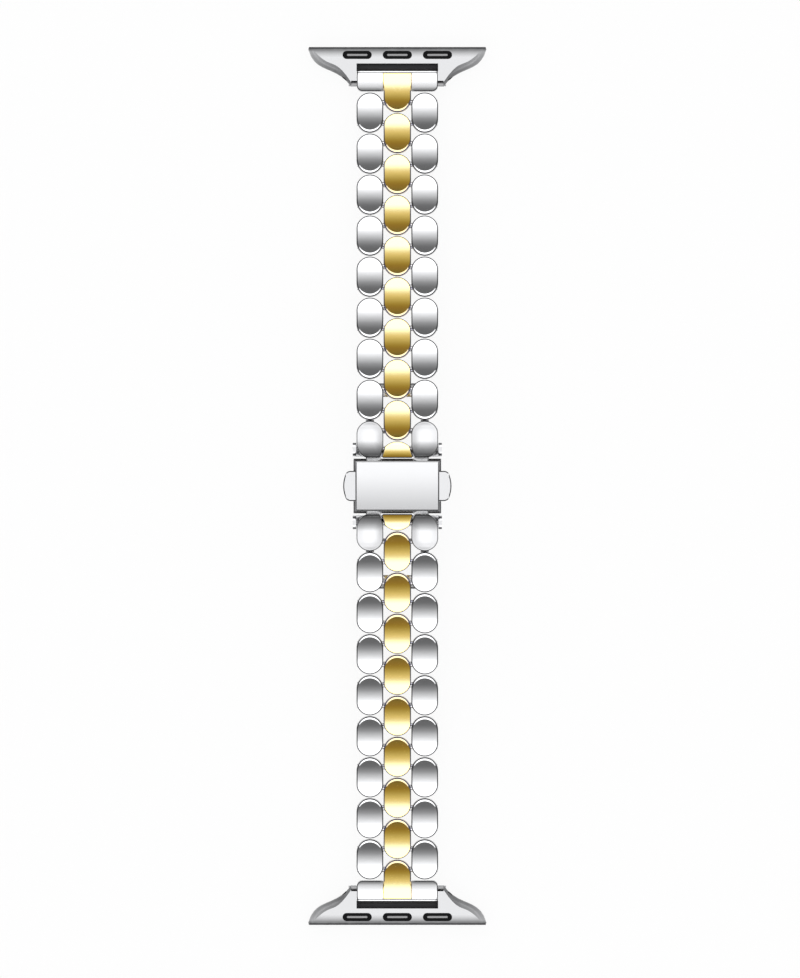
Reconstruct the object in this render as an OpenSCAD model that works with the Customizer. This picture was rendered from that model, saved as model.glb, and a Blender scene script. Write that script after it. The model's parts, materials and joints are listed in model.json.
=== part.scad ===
// A two-tone metal watch bracelet with a folding clasp, laid out on a table with its outer side up.
// X is the width, Y the length and Z the height. The clasp is in the middle, and the two halves of
// the band slope down from it to the table. Half a points along +Y and half b along -Y.
// All sizes are in millimetres.

/* [Links] */
// Width of a silver outer link
outer_w = 3.9; // [3.4:0.1:4.4]
// Width of a gold centre link
centre_w = 4.0; // [3.6:0.1:4.6]
// Gap between neighbouring columns of links
column_gap = 0.05; // [0.04:0.01:0.12]
// Distance from one link pin to the next
pitch = 3.0; // [2.8:0.05:3.4]
// Gap between two links that lie end to end
end_gap = 0.15; // [0.12:0.01:0.25]
// Rows of outer links in each half of the band
rows = 9; // [4:1:11]
// Height of a link's crown above its pins
crown_h = 1.35; // [1.2:0.05:1.6]
// Depth of a link's flat underside below its pins
under_h = 1.25; // [1.15:0.05:1.4]
// How far a link's crown stands above its two ends
crown_rise = 0.55; // [0.3:0.05:0.7]
// How far the clasp-side end of a link leans back at its top
end_lean = 0.5; // [0.2:0.05:0.7]
// Height above the pins at which that end starts to lean
lean_low = -0.3; // [-0.5:0.05:0]
// Length of the relief under each end of a link
relief_l = 0.3; // [0.25:0.05:0.5]
// Height of the relief under each end of a link
relief_h = 0.75; // [0.6:0.05:0.9]
// Diameter of a link pin
pin_d = 0.8; // [0.6:0.05:1]
// Depth to which a pin's ends are sunk below the flank
pin_sunk = 0.1; // [0.05:0.05:0.3]

/* [Clasp] */
// Length of the clasp cover at its foot
cover_l = 8.1; // [7.6:0.1:9]
// Width of the clasp cover at its foot
cover_w = 12.9; // [12.6:0.1:13.6]
// How far each wall of the cover leans in at its top
cover_draft = 0.42; // [0.2:0.02:0.5]
// Height of the cover's top above the table
cover_top = 6.8; // [6.6:0.1:7.6]
// Thickness of the cover's top plate
cover_t = 0.5; // [0.4:0.05:0.8]
// Thickness of the cover's side walls at the foot
cover_wall = 0.8; // [0.75:0.05:1]
// Height of the clasp base's underside at its middle
base_rise = 2.2; // [1.6:0.1:2.8]
// Thickness of the sheet that the base and the wings are cut from
plate_t = 0.8; // [0.6:0.05:1]
// Gap between the stacked layers of the clasp
layer_gap = 0.1; // [0.08:0.01:0.2]
// Distance of a wing's hinge from the middle of the clasp
hinge_y = 14.2; // [13.8:0.1:15]
// Radius of the hinge knuckles
knuckle_r = 0.8; // [0.7:0.05:0.9]
// Gap between the cover's foot and the first links beside it
cover_gap = 0.05; // [0.04:0.01:0.12]
// Distance from a wing's band pin to the next link pin
first_pitch = 2.7; // [2.6:0.05:3]
// Distance of a rail's inner edge from the middle of the clasp
rail_x = 3.4; // [3.2:0.1:3.6]
// Width of a rail
rail_w = 1.2; // [0.8:0.1:1.4]
// Thickness of a wing's ears
ear_t = 0.5; // [0.4:0.05:0.7]
// Radius of a wing's ears
ear_r = 0.95; // [0.8:0.05:1.05]
// Width that the gold clasp tongue gains towards the cover on each side
tongue_flare = 0.5; // [0.2:0.05:0.55]
// Gap between the clasp tongue and the first outer links
flare_gap = 0.22; // [0.18:0.01:0.25]
// Corner radius of the first outer links beside the cover
first_corner = 1.35; // [1:0.05:1.6]

/* [Buttons] */
// Length of a push button
button_l = 4.4; // [3.6:0.1:4.6]
// Height of a push button
button_t = 1.6; // [1.2:0.1:1.8]
// How far a button stands out from the foot of the cover
button_out = 1.45; // [1.2:0.05:1.7]
// Radius of a button's outer face
button_face_r = 4.5; // [3:0.1:8]
// Height of the buttons' middle above the table
button_z = 4.8; // [4.6:0.05:5]
// Wire diameter of a button spring
spring_wire = 0.2; // [0.15:0.01:0.25]
// Turns of a button spring
spring_turns = 6; // [4:1:8]

/* [End] */
// Distance from the last link pin to the spring bar
end_pitch = 2.8; // [2.7:0.05:3.1]
// Radius of the end bar round the spring bar
end_bar_r = 1.2; // [1.1:0.05:1.25]
// Reach of the end bar beyond the spring bar
end_bar_out = 1.82; // [1.6:0.02:1.9]
// Width of the lip behind the line across the end bar
lip_w = 0.35; // [0.3:0.05:0.5]
// Diameter of the spring bar's tube
spring_bar_d = 1.4; // [1.2:0.1:1.6]
// Diameter of the spring bar's tips
spring_tip_d = 0.8; // [0.6:0.05:0.9]

/* [Adapter] */
// Width of a watch adapter
adapter_w = 26; // [25:0.1:28]
// Reach of a watch adapter beyond the spring bar
adapter_out = 5.35; // [5:0.05:6]
// Thickness of a watch adapter
adapter_t = 2.4; // [2.3:0.05:2.6]
// Width of the rounding round the adapter, seen from above
edge_w = 0.6; // [0.4:0.05:0.9]
// Width of an adapter's ear at its tip
ear_w = 0.8; // [0.6:0.05:1]
// Reach of an adapter's ears past the spring bar, towards the clasp
ear_back = 0.47; // [0.4:0.01:0.5]
// Distance from the spring bar to the wall behind the end bar
pocket_out = 2.85; // [2.5:0.05:3]
// Length of a slot in the adapter's face
slot_l = 4.26; // [4:0.02:4.6]
// Width of a slot in the adapter's face
slot_w = 1.2; // [1:0.05:1.3]
// Depth of a slot in the adapter's face
slot_deep = 1.9; // [1.6:0.05:2]
// Distance between neighbouring slots
slot_step = 5.86; // [5:0.02:6.4]
// Distance from the spring bar to the line of the slots
slot_out = 4.1; // [3.9:0.05:4.3]
// Length of a silver bar in a slot
bar_l = 3.1; // [2.6:0.1:3.2]
// Width of a silver bar in a slot
bar_w = 0.4; // [0.3:0.02:0.5]
// Depth of the black ring in a slot
ring_deep = 0.75; // [0.5:0.05:0.8]
// Thickness of the latch bar's foot
foot_t = 0.3; // [0.2:0.05:0.4]
// Thickness of the latch's leaf spring
leaf_t = 0.12; // [0.08:0.01:0.16]

/* [Fits] */
// Radial clearance of a pin that turns
run_gap = 0.05; // [0.03:0.01:0.08]
// Radial clearance of a pin that is pressed in
press_gap = 0.01; // [0.005:0.005:0.02]
// Clearance between parts that slide or swing past each other
slide_gap = 0.08; // [0.05:0.01:0.1]

/* [Hidden] */
HALVES = ["a", "b"];

silver = "#d3d5da";
steel = "#b9bcc2";
gold = "#d9b35b";
black = "#2b2b2d";

$fn = 64;
tiny = 0.01;
far = 40;

// Links
pin_r = pin_d / 2;
link_l = 2 * pitch - end_gap;
link_end = (link_l - pitch) / 2;
outer_x = centre_w / 2 + column_gap + outer_w / 2;
band_w = centre_w + 2 * column_gap + 2 * outer_w;
arch_r = (pow(link_l / 2, 2) + pow(crown_rise, 2)) / (2 * crown_rise);
lean_angle = atan(end_lean / (crown_h - crown_rise - lean_low));
lean_ease = 0.02;
last_pin = 2 * rows - 1;

// The base and the wings are bent to arcs round one axis below the table
sheet_mid = base_rise + plate_t / 2;
sheet_sag = sheet_mid - knuckle_r;
sheet_r = (pow(hinge_y, 2) + pow(sheet_sag, 2)) / (2 * sheet_sag);
sheet_axis_z = sheet_mid - sheet_r;
wing_pin_y = cover_l / 2 + cover_gap + under_h;
base_top_r = sheet_r + plate_t / 2;
wing_low_r = base_top_r + layer_gap;
wing_top_r = wing_low_r + plate_t;
wing_pin_z = arc_z(wing_top_r, wing_pin_y) + layer_gap + under_h;

// Each half of the band slopes so that the lower edge of its adapter meets the table
spring_bar_u = pin_u(last_pin) + end_pitch;
reach = spring_bar_u + adapter_out - edge_w;
slope = asin(wing_pin_z / norm([reach, adapter_t / 2])) - atan(adapter_t / 2 / reach);

// Clasp
base_in = 0.05;
rail_out = rail_x + rail_w;
wing_y = cover_l / 2 + 0.2;
bridge_y = wing_pin_y + 0.55;
lug_in = 1;
lug_tip_y = cover_l / 2 - lug_in;
lug_x = 2.4;
lug_w = 2;
notch_l = 0.8;
notch_w = 0.35;
window_gap = 0.15;
ear_x = band_w / 2 + column_gap;
wing_pin_l = 2 * (ear_x + ear_t - pin_sunk);
hinge_pin_l = 2 * (rail_out - pin_sunk);
web_y = hinge_y - 1.2;
web_end_y = hinge_y - 0.7;
flare_u = 0.25;
tongue_r = first_pitch - link_end - 0.125;
tongue_tip_r = 2.5;
cavity_x = cover_w / 2 - cover_wall;
cavity_y = cover_l / 2 - cover_wall;
cavity_top = cover_top - cover_t;

// Buttons
flange_t = 0.35;
flange_over = 0.55;
flange_x = cavity_x - slide_gap;
flange_y = button_l / 2 + flange_over;
arm_w = 0.6;
arm_t = 0.6;
nose_gap = 0.05;
nose_l = 0.6;
nose_y = lug_tip_y + 0.15;
nose_low = arc_z(base_top_r, 0) + 0.15;
post_x = 0.45;
post_y = 0.8;
coil_r = 0.5;
coil_x = post_x + tiny + spring_wire / 2;

// End bar
end_corner = 0.8;
tongue_gap = 0.03;
line_w = 0.08;
line_deep = 0.1;
heel_l = 0.6;
heel_h = 0.7;
spring_tip_in = 4.5;
spring_tip_over = 0.35;

// Adapter
pocket_x = band_w / 2;
ear_tip_x = pocket_x + ear_w;
flank_in = 1;
flank_over = 2.25;
face_in = 0.85;
face_over = 2.65;
flank = [[adapter_w / 2, adapter_out - 0.35], [adapter_w / 2 - flank_in, 1.3],
         [ear_tip_x + flank_over, 2.8], [ear_tip_x, -ear_back]];
face_flank = [[adapter_w / 2 - face_in, adapter_out - edge_w - 0.1],
              [ear_tip_x + face_over, 1.7], [ear_tip_x + face_over, 4.1],
              [ear_tip_x, edge_w - ear_back]];
flank_steps = 10;
edge_steps = 6;
pocket_r = norm([end_bar_out, end_bar_r]) + 0.07;
ledge_z = -0.3;
ear_notch_x = ear_tip_x;
ear_notch_u = 0.32;
ear_notch_z = -0.5;
poke_d = 0.7;
poke_u = 0.62;
poke_z = 0.35;
ring_low = adapter_t / 2 - ring_deep;
slot_floor = adapter_t / 2 - slot_deep;
foot_top = ring_low - run_gap;
foot_l = slot_l - 0.4;
foot_w = slot_w - 0.3;

// Height of an arc round the sheets' axis, over a place y along the clasp
function arc_z(r, y) = sheet_axis_z + sqrt(r * r - y * y);

// Distance of a link pin from the wing's pin, along the band
function pin_u(n) = n == 0 ? 0 : first_pitch + pitch * (n - 1);

// Places a half: b is a turned round
module in_half(h) {
    rotate([0, 0, h == "a" ? 0 : 180]) children();
}

// Places something at a distance u from the wing's pin, along the sloping band
module on_band(h, u) {
    in_half(h) translate([0, wing_pin_y, wing_pin_z]) rotate([-slope, 0, 0])
        translate([0, u, 0]) children();
}

// A profile in Y and Z, as deep as w along X
module along_x(w) {
    rotate([90, 0, 90]) linear_extrude(height = w, center = true) children();
}

// A profile in X and Z, as deep as l along Y
module along_y(l) {
    rotate([90, 0, 0]) linear_extrude(height = l, center = true) children();
}

// A round bar along X
module rod(r, l) {
    rotate([0, 90, 0]) cylinder(r = r, h = l, center = true);
}

// A box between two corners
module box(low, high) {
    translate(low) cube(high - low);
}

// An oblong with round ends, l long and w wide
module oblong(l, w) {
    square([l - w, w], center = true);
    for (s = [-1, 1]) translate([s * (l - w) / 2, 0]) circle(w / 2);
}

// LINKS

// Side profile of a link from u1 to u2, with its crown over crown_u
module link_profile(u1, u2, crown_u) {
    intersection() {
        translate([crown_u, crown_h - arch_r]) circle(arch_r, $fn = 360);
        polygon([
            [u1, -under_h + relief_h], [u1 + relief_l, -under_h],
            [u2 - relief_l, -under_h], [u2, -under_h + relief_h],
            [u2, crown_h + 1], [u1, crown_h + 1]
        ]);
    }
}

// The wall that leans back at the clasp-side end, which reaches to u1
module lean_wall(w, u1) {
    r = w / 2 + lean_ease;
    translate([0, u1 + r / cos(lean_angle), lean_low]) rotate([-lean_angle, 0, 0])
        linear_extrude(height = far / 2, center = true) {
            circle(r);
            translate([-r, 0]) square([2 * r, far / 2]);
        }
}

// A link of width w round two pins, centred between them
module pill(w, bore_r) {
    difference() {
        intersection() {
            linear_extrude(height = far, center = true) rotate(90) oblong(link_l, w);
            along_x(w + 1) link_profile(-link_l / 2, link_l / 2, 0);
            lean_wall(w, -link_l / 2);
        }
        for (s = [-1, 1]) translate([0, s * pitch / 2, 0]) rod(bore_r, w + 1);
    }
}

// A row: two silver links and the two pins that are pressed into them
module outer_row(h, k) {
    on_band(h, pin_u(2 * k - 2) + pitch / 2) color(silver) {
        for (s = [-1, 1]) translate([s * outer_x, 0, 0]) pill(outer_w, pin_r + press_gap);
        for (s = [-1, 1]) translate([0, s * pitch / 2, 0]) rod(pin_r, band_w - 2 * pin_sunk);
    }
}

// Outline from above of the first link on the +X side, whose inner flank makes room for the tongue
module first_plan() {
    low = -under_h;
    tip = first_pitch + link_end;
    inner = centre_w / 2 + column_gap;
    outer = inner + outer_w;
    difference() {
        union() {
            translate([outer_x, tip - outer_w / 2]) circle(outer_w / 2);
            translate([inner, low + first_corner])
                square([outer_w, tip - outer_w / 2 - low - first_corner]);
            translate([inner, low]) square([outer_w - first_corner, first_corner + tiny]);
            translate([outer - first_corner, low + first_corner]) circle(first_corner);
        }
        polygon([
            [0, flare_u], [inner, flare_u], [inner + tongue_flare, low],
            [inner + tongue_flare, low - 1], [0, low - 1]
        ]);
    }
}

// The first row turns on the wing's pin, so its clasp-side end is a barrel round that pin
module first_row(h) {
    tip = first_pitch + link_end;
    on_band(h, 0) color(silver) {
        for (s = [0, 1]) mirror([s, 0, 0]) difference() {
            intersection() {
                linear_extrude(height = far, center = true) first_plan();
                along_x(far) union() {
                    circle(under_h);
                    intersection() {
                        link_profile(-link_end, tip, tip - link_l / 2);
                        translate([0, -far / 2]) square([far, far]);
                    }
                    translate([0, -under_h]) square([relief_l, under_h]);
                }
            }
            rod(pin_r + press_gap, far);
            translate([0, first_pitch, 0]) rod(pin_r + press_gap, far);
        }
        rod(pin_r, wing_pin_l);
        translate([0, first_pitch, 0]) rod(pin_r, band_w - 2 * pin_sunk);
    }
}

// A gold link that turns on the pins of the rows before and after it
module centre_link(h, k) {
    on_band(h, pin_u(2 * k - 1) + pitch / 2) color(gold) pill(centre_w, pin_r + run_gap);
}

// CLASP

// A strip of sheet between two radii round the sheets' axis, from y1 to y2
module sheet_strip(r1, r2, y1, y2) {
    intersection() {
        translate([0, sheet_axis_z]) difference() {
            circle(r2, $fn = 720);
            circle(r1, $fn = 720);
        }
        translate([y1, -far / 2]) square([y2 - y1, far]);
    }
}

// The curved base: a plate under the cover and two rails to each hinge
module clasp_base() {
    color(steel) difference() {
        union() {
            along_x(cover_w - 2 * base_in)
                sheet_strip(sheet_r - plate_t / 2, base_top_r, -cover_l / 2 + base_in,
                            cover_l / 2 - base_in);
            for (s = [-1, 1]) translate([s * (rail_x + rail_w / 2), 0, 0]) along_x(rail_w) {
                sheet_strip(sheet_r - plate_t / 2, base_top_r, -hinge_y, hinge_y);
                for (t = [-1, 1]) translate([t * hinge_y, knuckle_r]) circle(knuckle_r);
            }
            box([-post_x, -post_y, sheet_mid], [post_x, post_y, button_z + coil_r + spring_wire]);
        }
        for (t = [-1, 1]) translate([0, t * hinge_y, knuckle_r]) rod(pin_r + press_gap, far);
    }
}

// The pins on which the two wings turn
module hinge_pins() {
    color(steel) for (t = [-1, 1]) translate([0, t * hinge_y, knuckle_r]) rod(pin_r, hinge_pin_l);
}

// Where the cover's walls have moved in to, at a height z
function cover_in(z) = cover_draft * (z - base_rise) / (cover_top - base_rise);

// The flat cover over the lock, with windows for the wings' lugs and for the buttons
module clasp_cover() {
    foot_x = cover_w / 2;
    foot_y = cover_l / 2;
    lug_low = lug_x - window_gap;
    lug_high = lug_x + lug_w + window_gap;
    color(silver) difference() {
        intersection() {
            along_y(cover_l + 1) polygon([
                [-foot_x, base_rise], [foot_x, base_rise],
                [foot_x - cover_draft, cover_top], [-foot_x + cover_draft, cover_top]
            ]);
            along_x(cover_w + 1) polygon([
                [-foot_y, base_rise], [foot_y, base_rise],
                [foot_y - cover_draft, cover_top], [-foot_y + cover_draft, cover_top]
            ]);
        }
        box([-cavity_x, -cavity_y, 0], [cavity_x, cavity_y, cavity_top]);
        for (s = [-1, 1]) translate([s * (lug_low + lug_high) / 2, 0, cavity_top / 2])
            cube([lug_high - lug_low, cover_l + 1, cavity_top], center = true);
        translate([0, 0, button_z]) cube([cover_w + 1, button_l + 2 * slide_gap,
                                          button_t + 2 * slide_gap], center = true);
        translate([0, 0, sheet_axis_z]) rotate([0, 90, 0])
            cylinder(r = base_top_r, h = far, center = true, $fn = 720);
    }
}

// A folding wing: barrel at the hinge, two rails, and a bridge with lugs and ears at the free end
module wing(h) {
    in_half(h) color(steel) difference() {
        union() {
            // The barrel between the base's knuckles
            translate([0, hinge_y, knuckle_r]) rod(knuckle_r, 2 * (rail_x - slide_gap));
            // The web that joins the barrel and the rails
            along_x(2 * rail_out) {
                sheet_strip(wing_low_r, wing_top_r, web_y, web_end_y);
                polygon([
                    [web_end_y - 0.2, arc_z(wing_low_r, web_end_y) + 0.1],
                    [hinge_y, 1.5 * knuckle_r], [hinge_y + 0.3, 1.9 * knuckle_r],
                    [web_end_y - 0.05, arc_z(wing_top_r, web_end_y)]
                ]);
            }
            for (s = [-1, 1]) translate([s * (rail_x + rail_w / 2), 0, 0])
                along_x(rail_w) sheet_strip(wing_low_r, wing_top_r, bridge_y - 0.1, web_y + 0.1);
            // The bridge under the first row
            along_x(2 * (ear_x + ear_t)) sheet_strip(wing_low_r, wing_top_r, wing_y, bridge_y);
            // The lugs that reach into the cover
            for (s = [-1, 1]) translate([s * (lug_x + lug_w / 2), 0, 0])
                along_x(lug_w) sheet_strip(wing_low_r, wing_top_r, lug_tip_y, wing_y + 0.1);
            // The ears beside the first row
            for (s = [-1, 1]) translate([s * (ear_x + ear_t / 2), 0, 0]) along_x(ear_t) {
                translate([wing_pin_y, wing_pin_z]) circle(ear_r);
                translate([wing_y, arc_z(wing_low_r, bridge_y)])
                    square([bridge_y - wing_y, wing_pin_z - arc_z(wing_low_r, bridge_y)]);
            }
        }
        // Room for the base's rails and knuckles
        for (s = [-1, 1]) translate([s * (rail_x - slide_gap + far / 2), 0, 0]) along_x(far) {
            sheet_strip(sheet_r - plate_t, wing_low_r, 0, hinge_y);
            translate([hinge_y, knuckle_r]) circle(knuckle_r + slide_gap);
        }
        translate([0, hinge_y, knuckle_r]) rod(pin_r + run_gap, far);
        translate([0, wing_pin_y, wing_pin_z]) rod(pin_r + run_gap, far);
        // The notches that the buttons' noses catch
        for (s = [-1, 1]) translate([s * lug_x, lug_tip_y + lug_in / 2, 0])
            cube([notch_l, notch_w, far], center = true);
    }
}

// Outline from above of the clasp tongue, which widens towards the cover
module tongue_plan() {
    low = -under_h;
    wide = centre_w / 2 + column_gap + tongue_flare - flare_gap;
    narrow = centre_w / 2 + column_gap - flare_gap;
    lean = tongue_flare / (flare_u - low);
    intersection() {
        translate([0, tongue_r - tongue_tip_r]) circle(tongue_tip_r);
        polygon([
            [-wide, low], [wide, low], [narrow - lean, flare_u + 1], [-narrow + lean, flare_u + 1]
        ]);
    }
}

// The gold tongue on a wing, a barrel round the wing's pin on a foot that stands on the bridge
module wing_tongue(h) {
    in_half(h) color(gold) difference() {
        translate([0, wing_pin_y, wing_pin_z]) intersection() {
            linear_extrude(height = far, center = true) tongue_plan();
            along_x(far) union() {
                circle(tongue_r);
                translate([-under_h, -2 * under_h]) square([under_h + 0.4, 2 * under_h]);
            }
        }
        translate([0, wing_pin_y, wing_pin_z]) rod(pin_r + run_gap, far);
        translate([0, 0, sheet_axis_z]) rotate([0, 90, 0])
            cylinder(r = wing_top_r, h = far, center = true, $fn = 720);
    }
}

// A push button on the side s, with the flange and the two arms whose noses hold the wings' lugs
module button(s) {
    face = cover_w / 2 + button_out;
    mirror([s < 0 ? 1 : 0, 0, 0]) color(silver) {
        translate([0, 0, button_z - button_t / 2]) linear_extrude(height = button_t) intersection() {
            translate([flange_x - flange_t, -button_l / 2]) square([far, button_l]);
            translate([face - button_face_r, 0]) circle(button_face_r, $fn = 180);
        }
        box([flange_x - flange_t, -flange_y, button_z - button_t / 2],
            [flange_x, flange_y, button_z + button_t / 2]);
        for (t = [0, 1]) mirror([0, t, 0]) {
            box([lug_x - nose_gap - nose_l, flange_y - arm_w, button_z - button_t / 2],
                [flange_x, flange_y, button_z - button_t / 2 + arm_t]);
            box([lug_x - nose_gap - nose_l, flange_y - arm_w, nose_low],
                [lug_x - nose_gap, nose_y, button_z - button_t / 2 + arm_t]);
        }
    }
}

// A tube of four sides along a helix round X
module coil(r, wire, turns, l) {
    around = 10;
    sides = 4;
    steps = turns * around;
    points = [for (i = [0:steps]) for (j = [0:sides - 1])
        let (a = 360 * i / around, b = 360 * j / sides, q = r + wire / 2 * cos(b))
        [l * i / steps + wire / 2 * sin(b), q * cos(a), q * sin(a)]];
    walls = [for (i = [0:steps - 1]) for (j = [0:sides - 1])
        let (p = i * sides + j, q = i * sides + (j + 1) % sides)
        each [[p, q, q + sides], [p, q + sides, p + sides]]];
    caps = [for (j = [1:sides - 2]) each [[0, j + 1, j],
        [steps * sides, steps * sides + j, steps * sides + j + 1]]];
    polyhedron(points, concat(walls, caps));
}

// The springs between the base's post and the two buttons
module button_springs() {
    l = flange_x - flange_t - coil_x - tiny - spring_wire / 2;
    color(steel) for (s = [0, 1]) mirror([s, 0, 0]) translate([coil_x, 0, button_z])
        coil(coil_r, spring_wire, spring_turns, l);
}

// ENDS

// Outline from above of the end bar, with round corners towards the clasp
module end_bar_plan() {
    w = band_w - 2 * column_gap;
    r = end_corner;
    translate([-w / 2, -end_bar_r + r]) square([w, end_bar_r - r + end_bar_out]);
    translate([-w / 2 + r, -end_bar_r]) square([w - 2 * r, end_bar_r]);
    for (s = [-1, 1]) translate([s * (w / 2 - r), -end_bar_r + r]) circle(r);
}

// The silver bar round the spring bar
module end_bar(h) {
    on_band(h, spring_bar_u) color(silver) difference() {
        intersection() {
            linear_extrude(height = far, center = true) end_bar_plan();
            along_x(band_w) {
                circle(end_bar_r);
                polygon([
                    [0, -end_bar_r], [end_bar_out - heel_l, -end_bar_r],
                    [end_bar_out, -end_bar_r + heel_h], [end_bar_out, end_bar_r], [0, end_bar_r]
                ]);
            }
        }
        // The slot of the gold tongue
        box([-centre_w / 2 - tongue_gap, -far, -far],
            [centre_w / 2 + tongue_gap, end_bar_out - lip_w, far]);
        // The line in front of the lip
        box([-far, end_bar_out - lip_w - line_w, end_bar_r - line_deep],
            [far, end_bar_out - lip_w, far]);
        rod(spring_bar_d / 2 + press_gap, far);
    }
}

// The gold tongue in the end bar, hinged on the last link pin
module end_tongue(h) {
    near = -end_pitch - link_end;
    on_band(h, spring_bar_u) color(gold) difference() {
        intersection() {
            linear_extrude(height = far, center = true) {
                translate([0, near + centre_w / 2]) circle(centre_w / 2);
                translate([-centre_w / 2, near + centre_w / 2])
                    square([centre_w, end_bar_out - lip_w - tongue_gap - near - centre_w / 2]);
            }
            along_x(centre_w + 1) link_profile(near, end_bar_out, near + link_l / 2);
            lean_wall(centre_w, near);
            box([-far, -far, -end_bar_r], [far, far, far]);
        }
        translate([0, -end_pitch, 0]) rod(pin_r + run_gap, far);
        rod(spring_bar_d / 2 + press_gap, far);
    }
}

// The spring bar: a tube and the two tips that snap into the adapter's ears
module spring_bar(h) {
    tip_in = spring_tip_in;
    tip_out = ear_notch_x + spring_tip_over;
    on_band(h, spring_bar_u) color(steel) {
        difference() {
            rod(spring_bar_d / 2, band_w - 0.4);
            rod(spring_tip_d / 2 + press_gap, far);
        }
        for (s = [-1, 1]) translate([s * (tip_in + tip_out) / 2, 0, 0])
            rod(spring_tip_d / 2, tip_out - tip_in);
    }
}

// A point of the curve through four control points
function curve(p, t) = pow(1 - t, 3) * p[0] + 3 * pow(1 - t, 2) * t * p[1]
    + 3 * (1 - t) * t * t * p[2] + pow(t, 3) * p[3];

// Right half of the outline at the adapter's mid-height, from the watch side to the tip of the ear
half_outer = concat([[adapter_w / 2 - 0.1, adapter_out]],
    [for (i = [0:flank_steps]) curve(flank, i / flank_steps)]);

// The same half of its flat faces' outline, point for point
half_inner = concat([[adapter_w / 2 - 0.95, adapter_out - edge_w]],
    [for (i = [0:flank_steps]) curve(face_flank, i / flank_steps)]);

// A half outline closed by its mirror image
function closed(half) = concat(half,
    [for (i = [len(half) - 1:-1:0]) [-half[i][0], half[i][1]]]);

// The adapter's body before its cuts: a slab whose whole edge is rounded
module adapter_blank() {
    outer = closed(half_outer);
    inner = closed(half_inner);
    n = len(outer);
    m = len(half_outer);
    points = [for (j = [0:edge_steps]) for (i = [0:n - 1])
        let (a = -90 + 180 * j / edge_steps, p = outer[i] + (inner[i] - outer[i]) * (1 - cos(a)))
        [p[0], p[1], adapter_t / 2 * sin(a)]];
    walls = [for (j = [0:edge_steps - 1]) for (i = [0:n - 1])
        let (p = j * n + i, q = j * n + (i + 1) % n)
        each [[p, q, q + n], [p, q + n, p + n]]];
    top = edge_steps * n;
    caps = [for (i = [0:m - 2]) let (p = i, q = i + 1, r = n - 2 - i, s = n - 1 - i)
        each [[p, r, q], [p, s, r], [top + p, top + q, top + r], [top + p, top + r, top + s]]];
    polyhedron(points, concat(walls, caps));
}

// The watch adapter, which slides sideways into the watch
module adapter(h) {
    on_band(h, spring_bar_u) color(silver) difference() {
        adapter_blank();
        // The pocket of the end bar, with a ledge below its wall
        box([-pocket_x, -2, ledge_z], [pocket_x, pocket_out, 2]);
        box([-pocket_x, -2, -2], [pocket_x, 0, 2]);
        rod(pocket_r, 2 * pocket_x);
        // The notches that bare the tips of the spring bar
        for (s = [0, 1]) mirror([s, 0, 0])
            box([pocket_x - tiny, -2, ear_notch_z], [ear_notch_x, ear_notch_u, 2]);
        rod(spring_tip_d / 2 + run_gap, far);
        // The holes through which a tool reaches the tips
        for (s = [0, 1]) mirror([s, 0, 0]) translate([ear_notch_x + 0.1, poke_u, poke_z])
            rotate([0, 90, 0]) cylinder(d = poke_d, h = far);
        for (s = [-1:1]) translate([s * slot_step, slot_out, slot_floor])
            linear_extrude(height = far) oblong(slot_l, slot_w);
    }
}

// The black rings in the three slots
module slot_rings(h) {
    on_band(h, spring_bar_u) color(black) for (s = [-1:1])
        translate([s * slot_step, slot_out, ring_low]) linear_extrude(height = ring_deep) difference() {
            oblong(slot_l - 2 * press_gap, slot_w - 2 * press_gap);
            oblong(bar_l + 2 * run_gap, bar_w + 2 * run_gap);
        }
}

// The fixed silver bars in the two outer slots
module side_bars(h) {
    on_band(h, spring_bar_u) color(steel) for (s = [-1, 1])
        translate([s * slot_step, slot_out, slot_floor]) {
            linear_extrude(height = slot_deep) oblong(bar_l, bar_w);
            linear_extrude(height = foot_top - slot_floor) oblong(foot_l, foot_w);
        }
}

// The sprung bar in the middle slot, which locks the adapter in the watch
module latch(h) {
    on_band(h, spring_bar_u) color(steel) translate([0, slot_out, 0]) {
        translate([0, 0, foot_top - foot_t]) linear_extrude(height = foot_t) oblong(foot_l, foot_w);
        translate([0, 0, foot_top - foot_t])
            linear_extrude(height = adapter_t / 2 - foot_top + foot_t) oblong(bar_l, bar_w);
    }
}

// The bowed leaf under the latch bar
module latch_spring(h) {
    rise = foot_top - foot_t - slot_floor - 2 * tiny;
    span = foot_l - 0.4;
    r = (span * span / 4 + rise * rise) / (2 * rise);
    on_band(h, spring_bar_u) color(steel) translate([0, slot_out, slot_floor + tiny])
        along_y(foot_w - 0.2) intersection() {
            translate([0, rise - r]) difference() {
                circle(r, $fn = 180);
                circle(r - leaf_t, $fn = 180);
            }
            translate([-far / 2, 0]) square([far, far]);
        }
}

clasp_base();
clasp_cover();
hinge_pins();
button(-1);  // button_left
button(1);  // button_right
button_springs();
for (h = HALVES) {
    wing(h);
    wing_tongue(h);
    first_row(h);
    for (k = [2:rows]) outer_row(h, k);
    for (k = [1:rows - 1]) centre_link(h, k);
    end_bar(h);
    end_tongue(h);
    spring_bar(h);
    adapter(h);
    slot_rings(h);
    side_bars(h);
    latch(h);
    latch_spring(h);
}
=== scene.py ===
"""Looks of a two-tone metal watch bracelet with a folding clasp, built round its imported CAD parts."""

import json
import math
from contextlib import contextmanager
from functools import partialmethod

import bmesh
import bpy
from bpy.props import FloatProperty, FloatVectorProperty, PointerProperty
from bpy.types import Operator, Panel, PropertyGroup
from mathutils import Matrix, Vector


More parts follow.
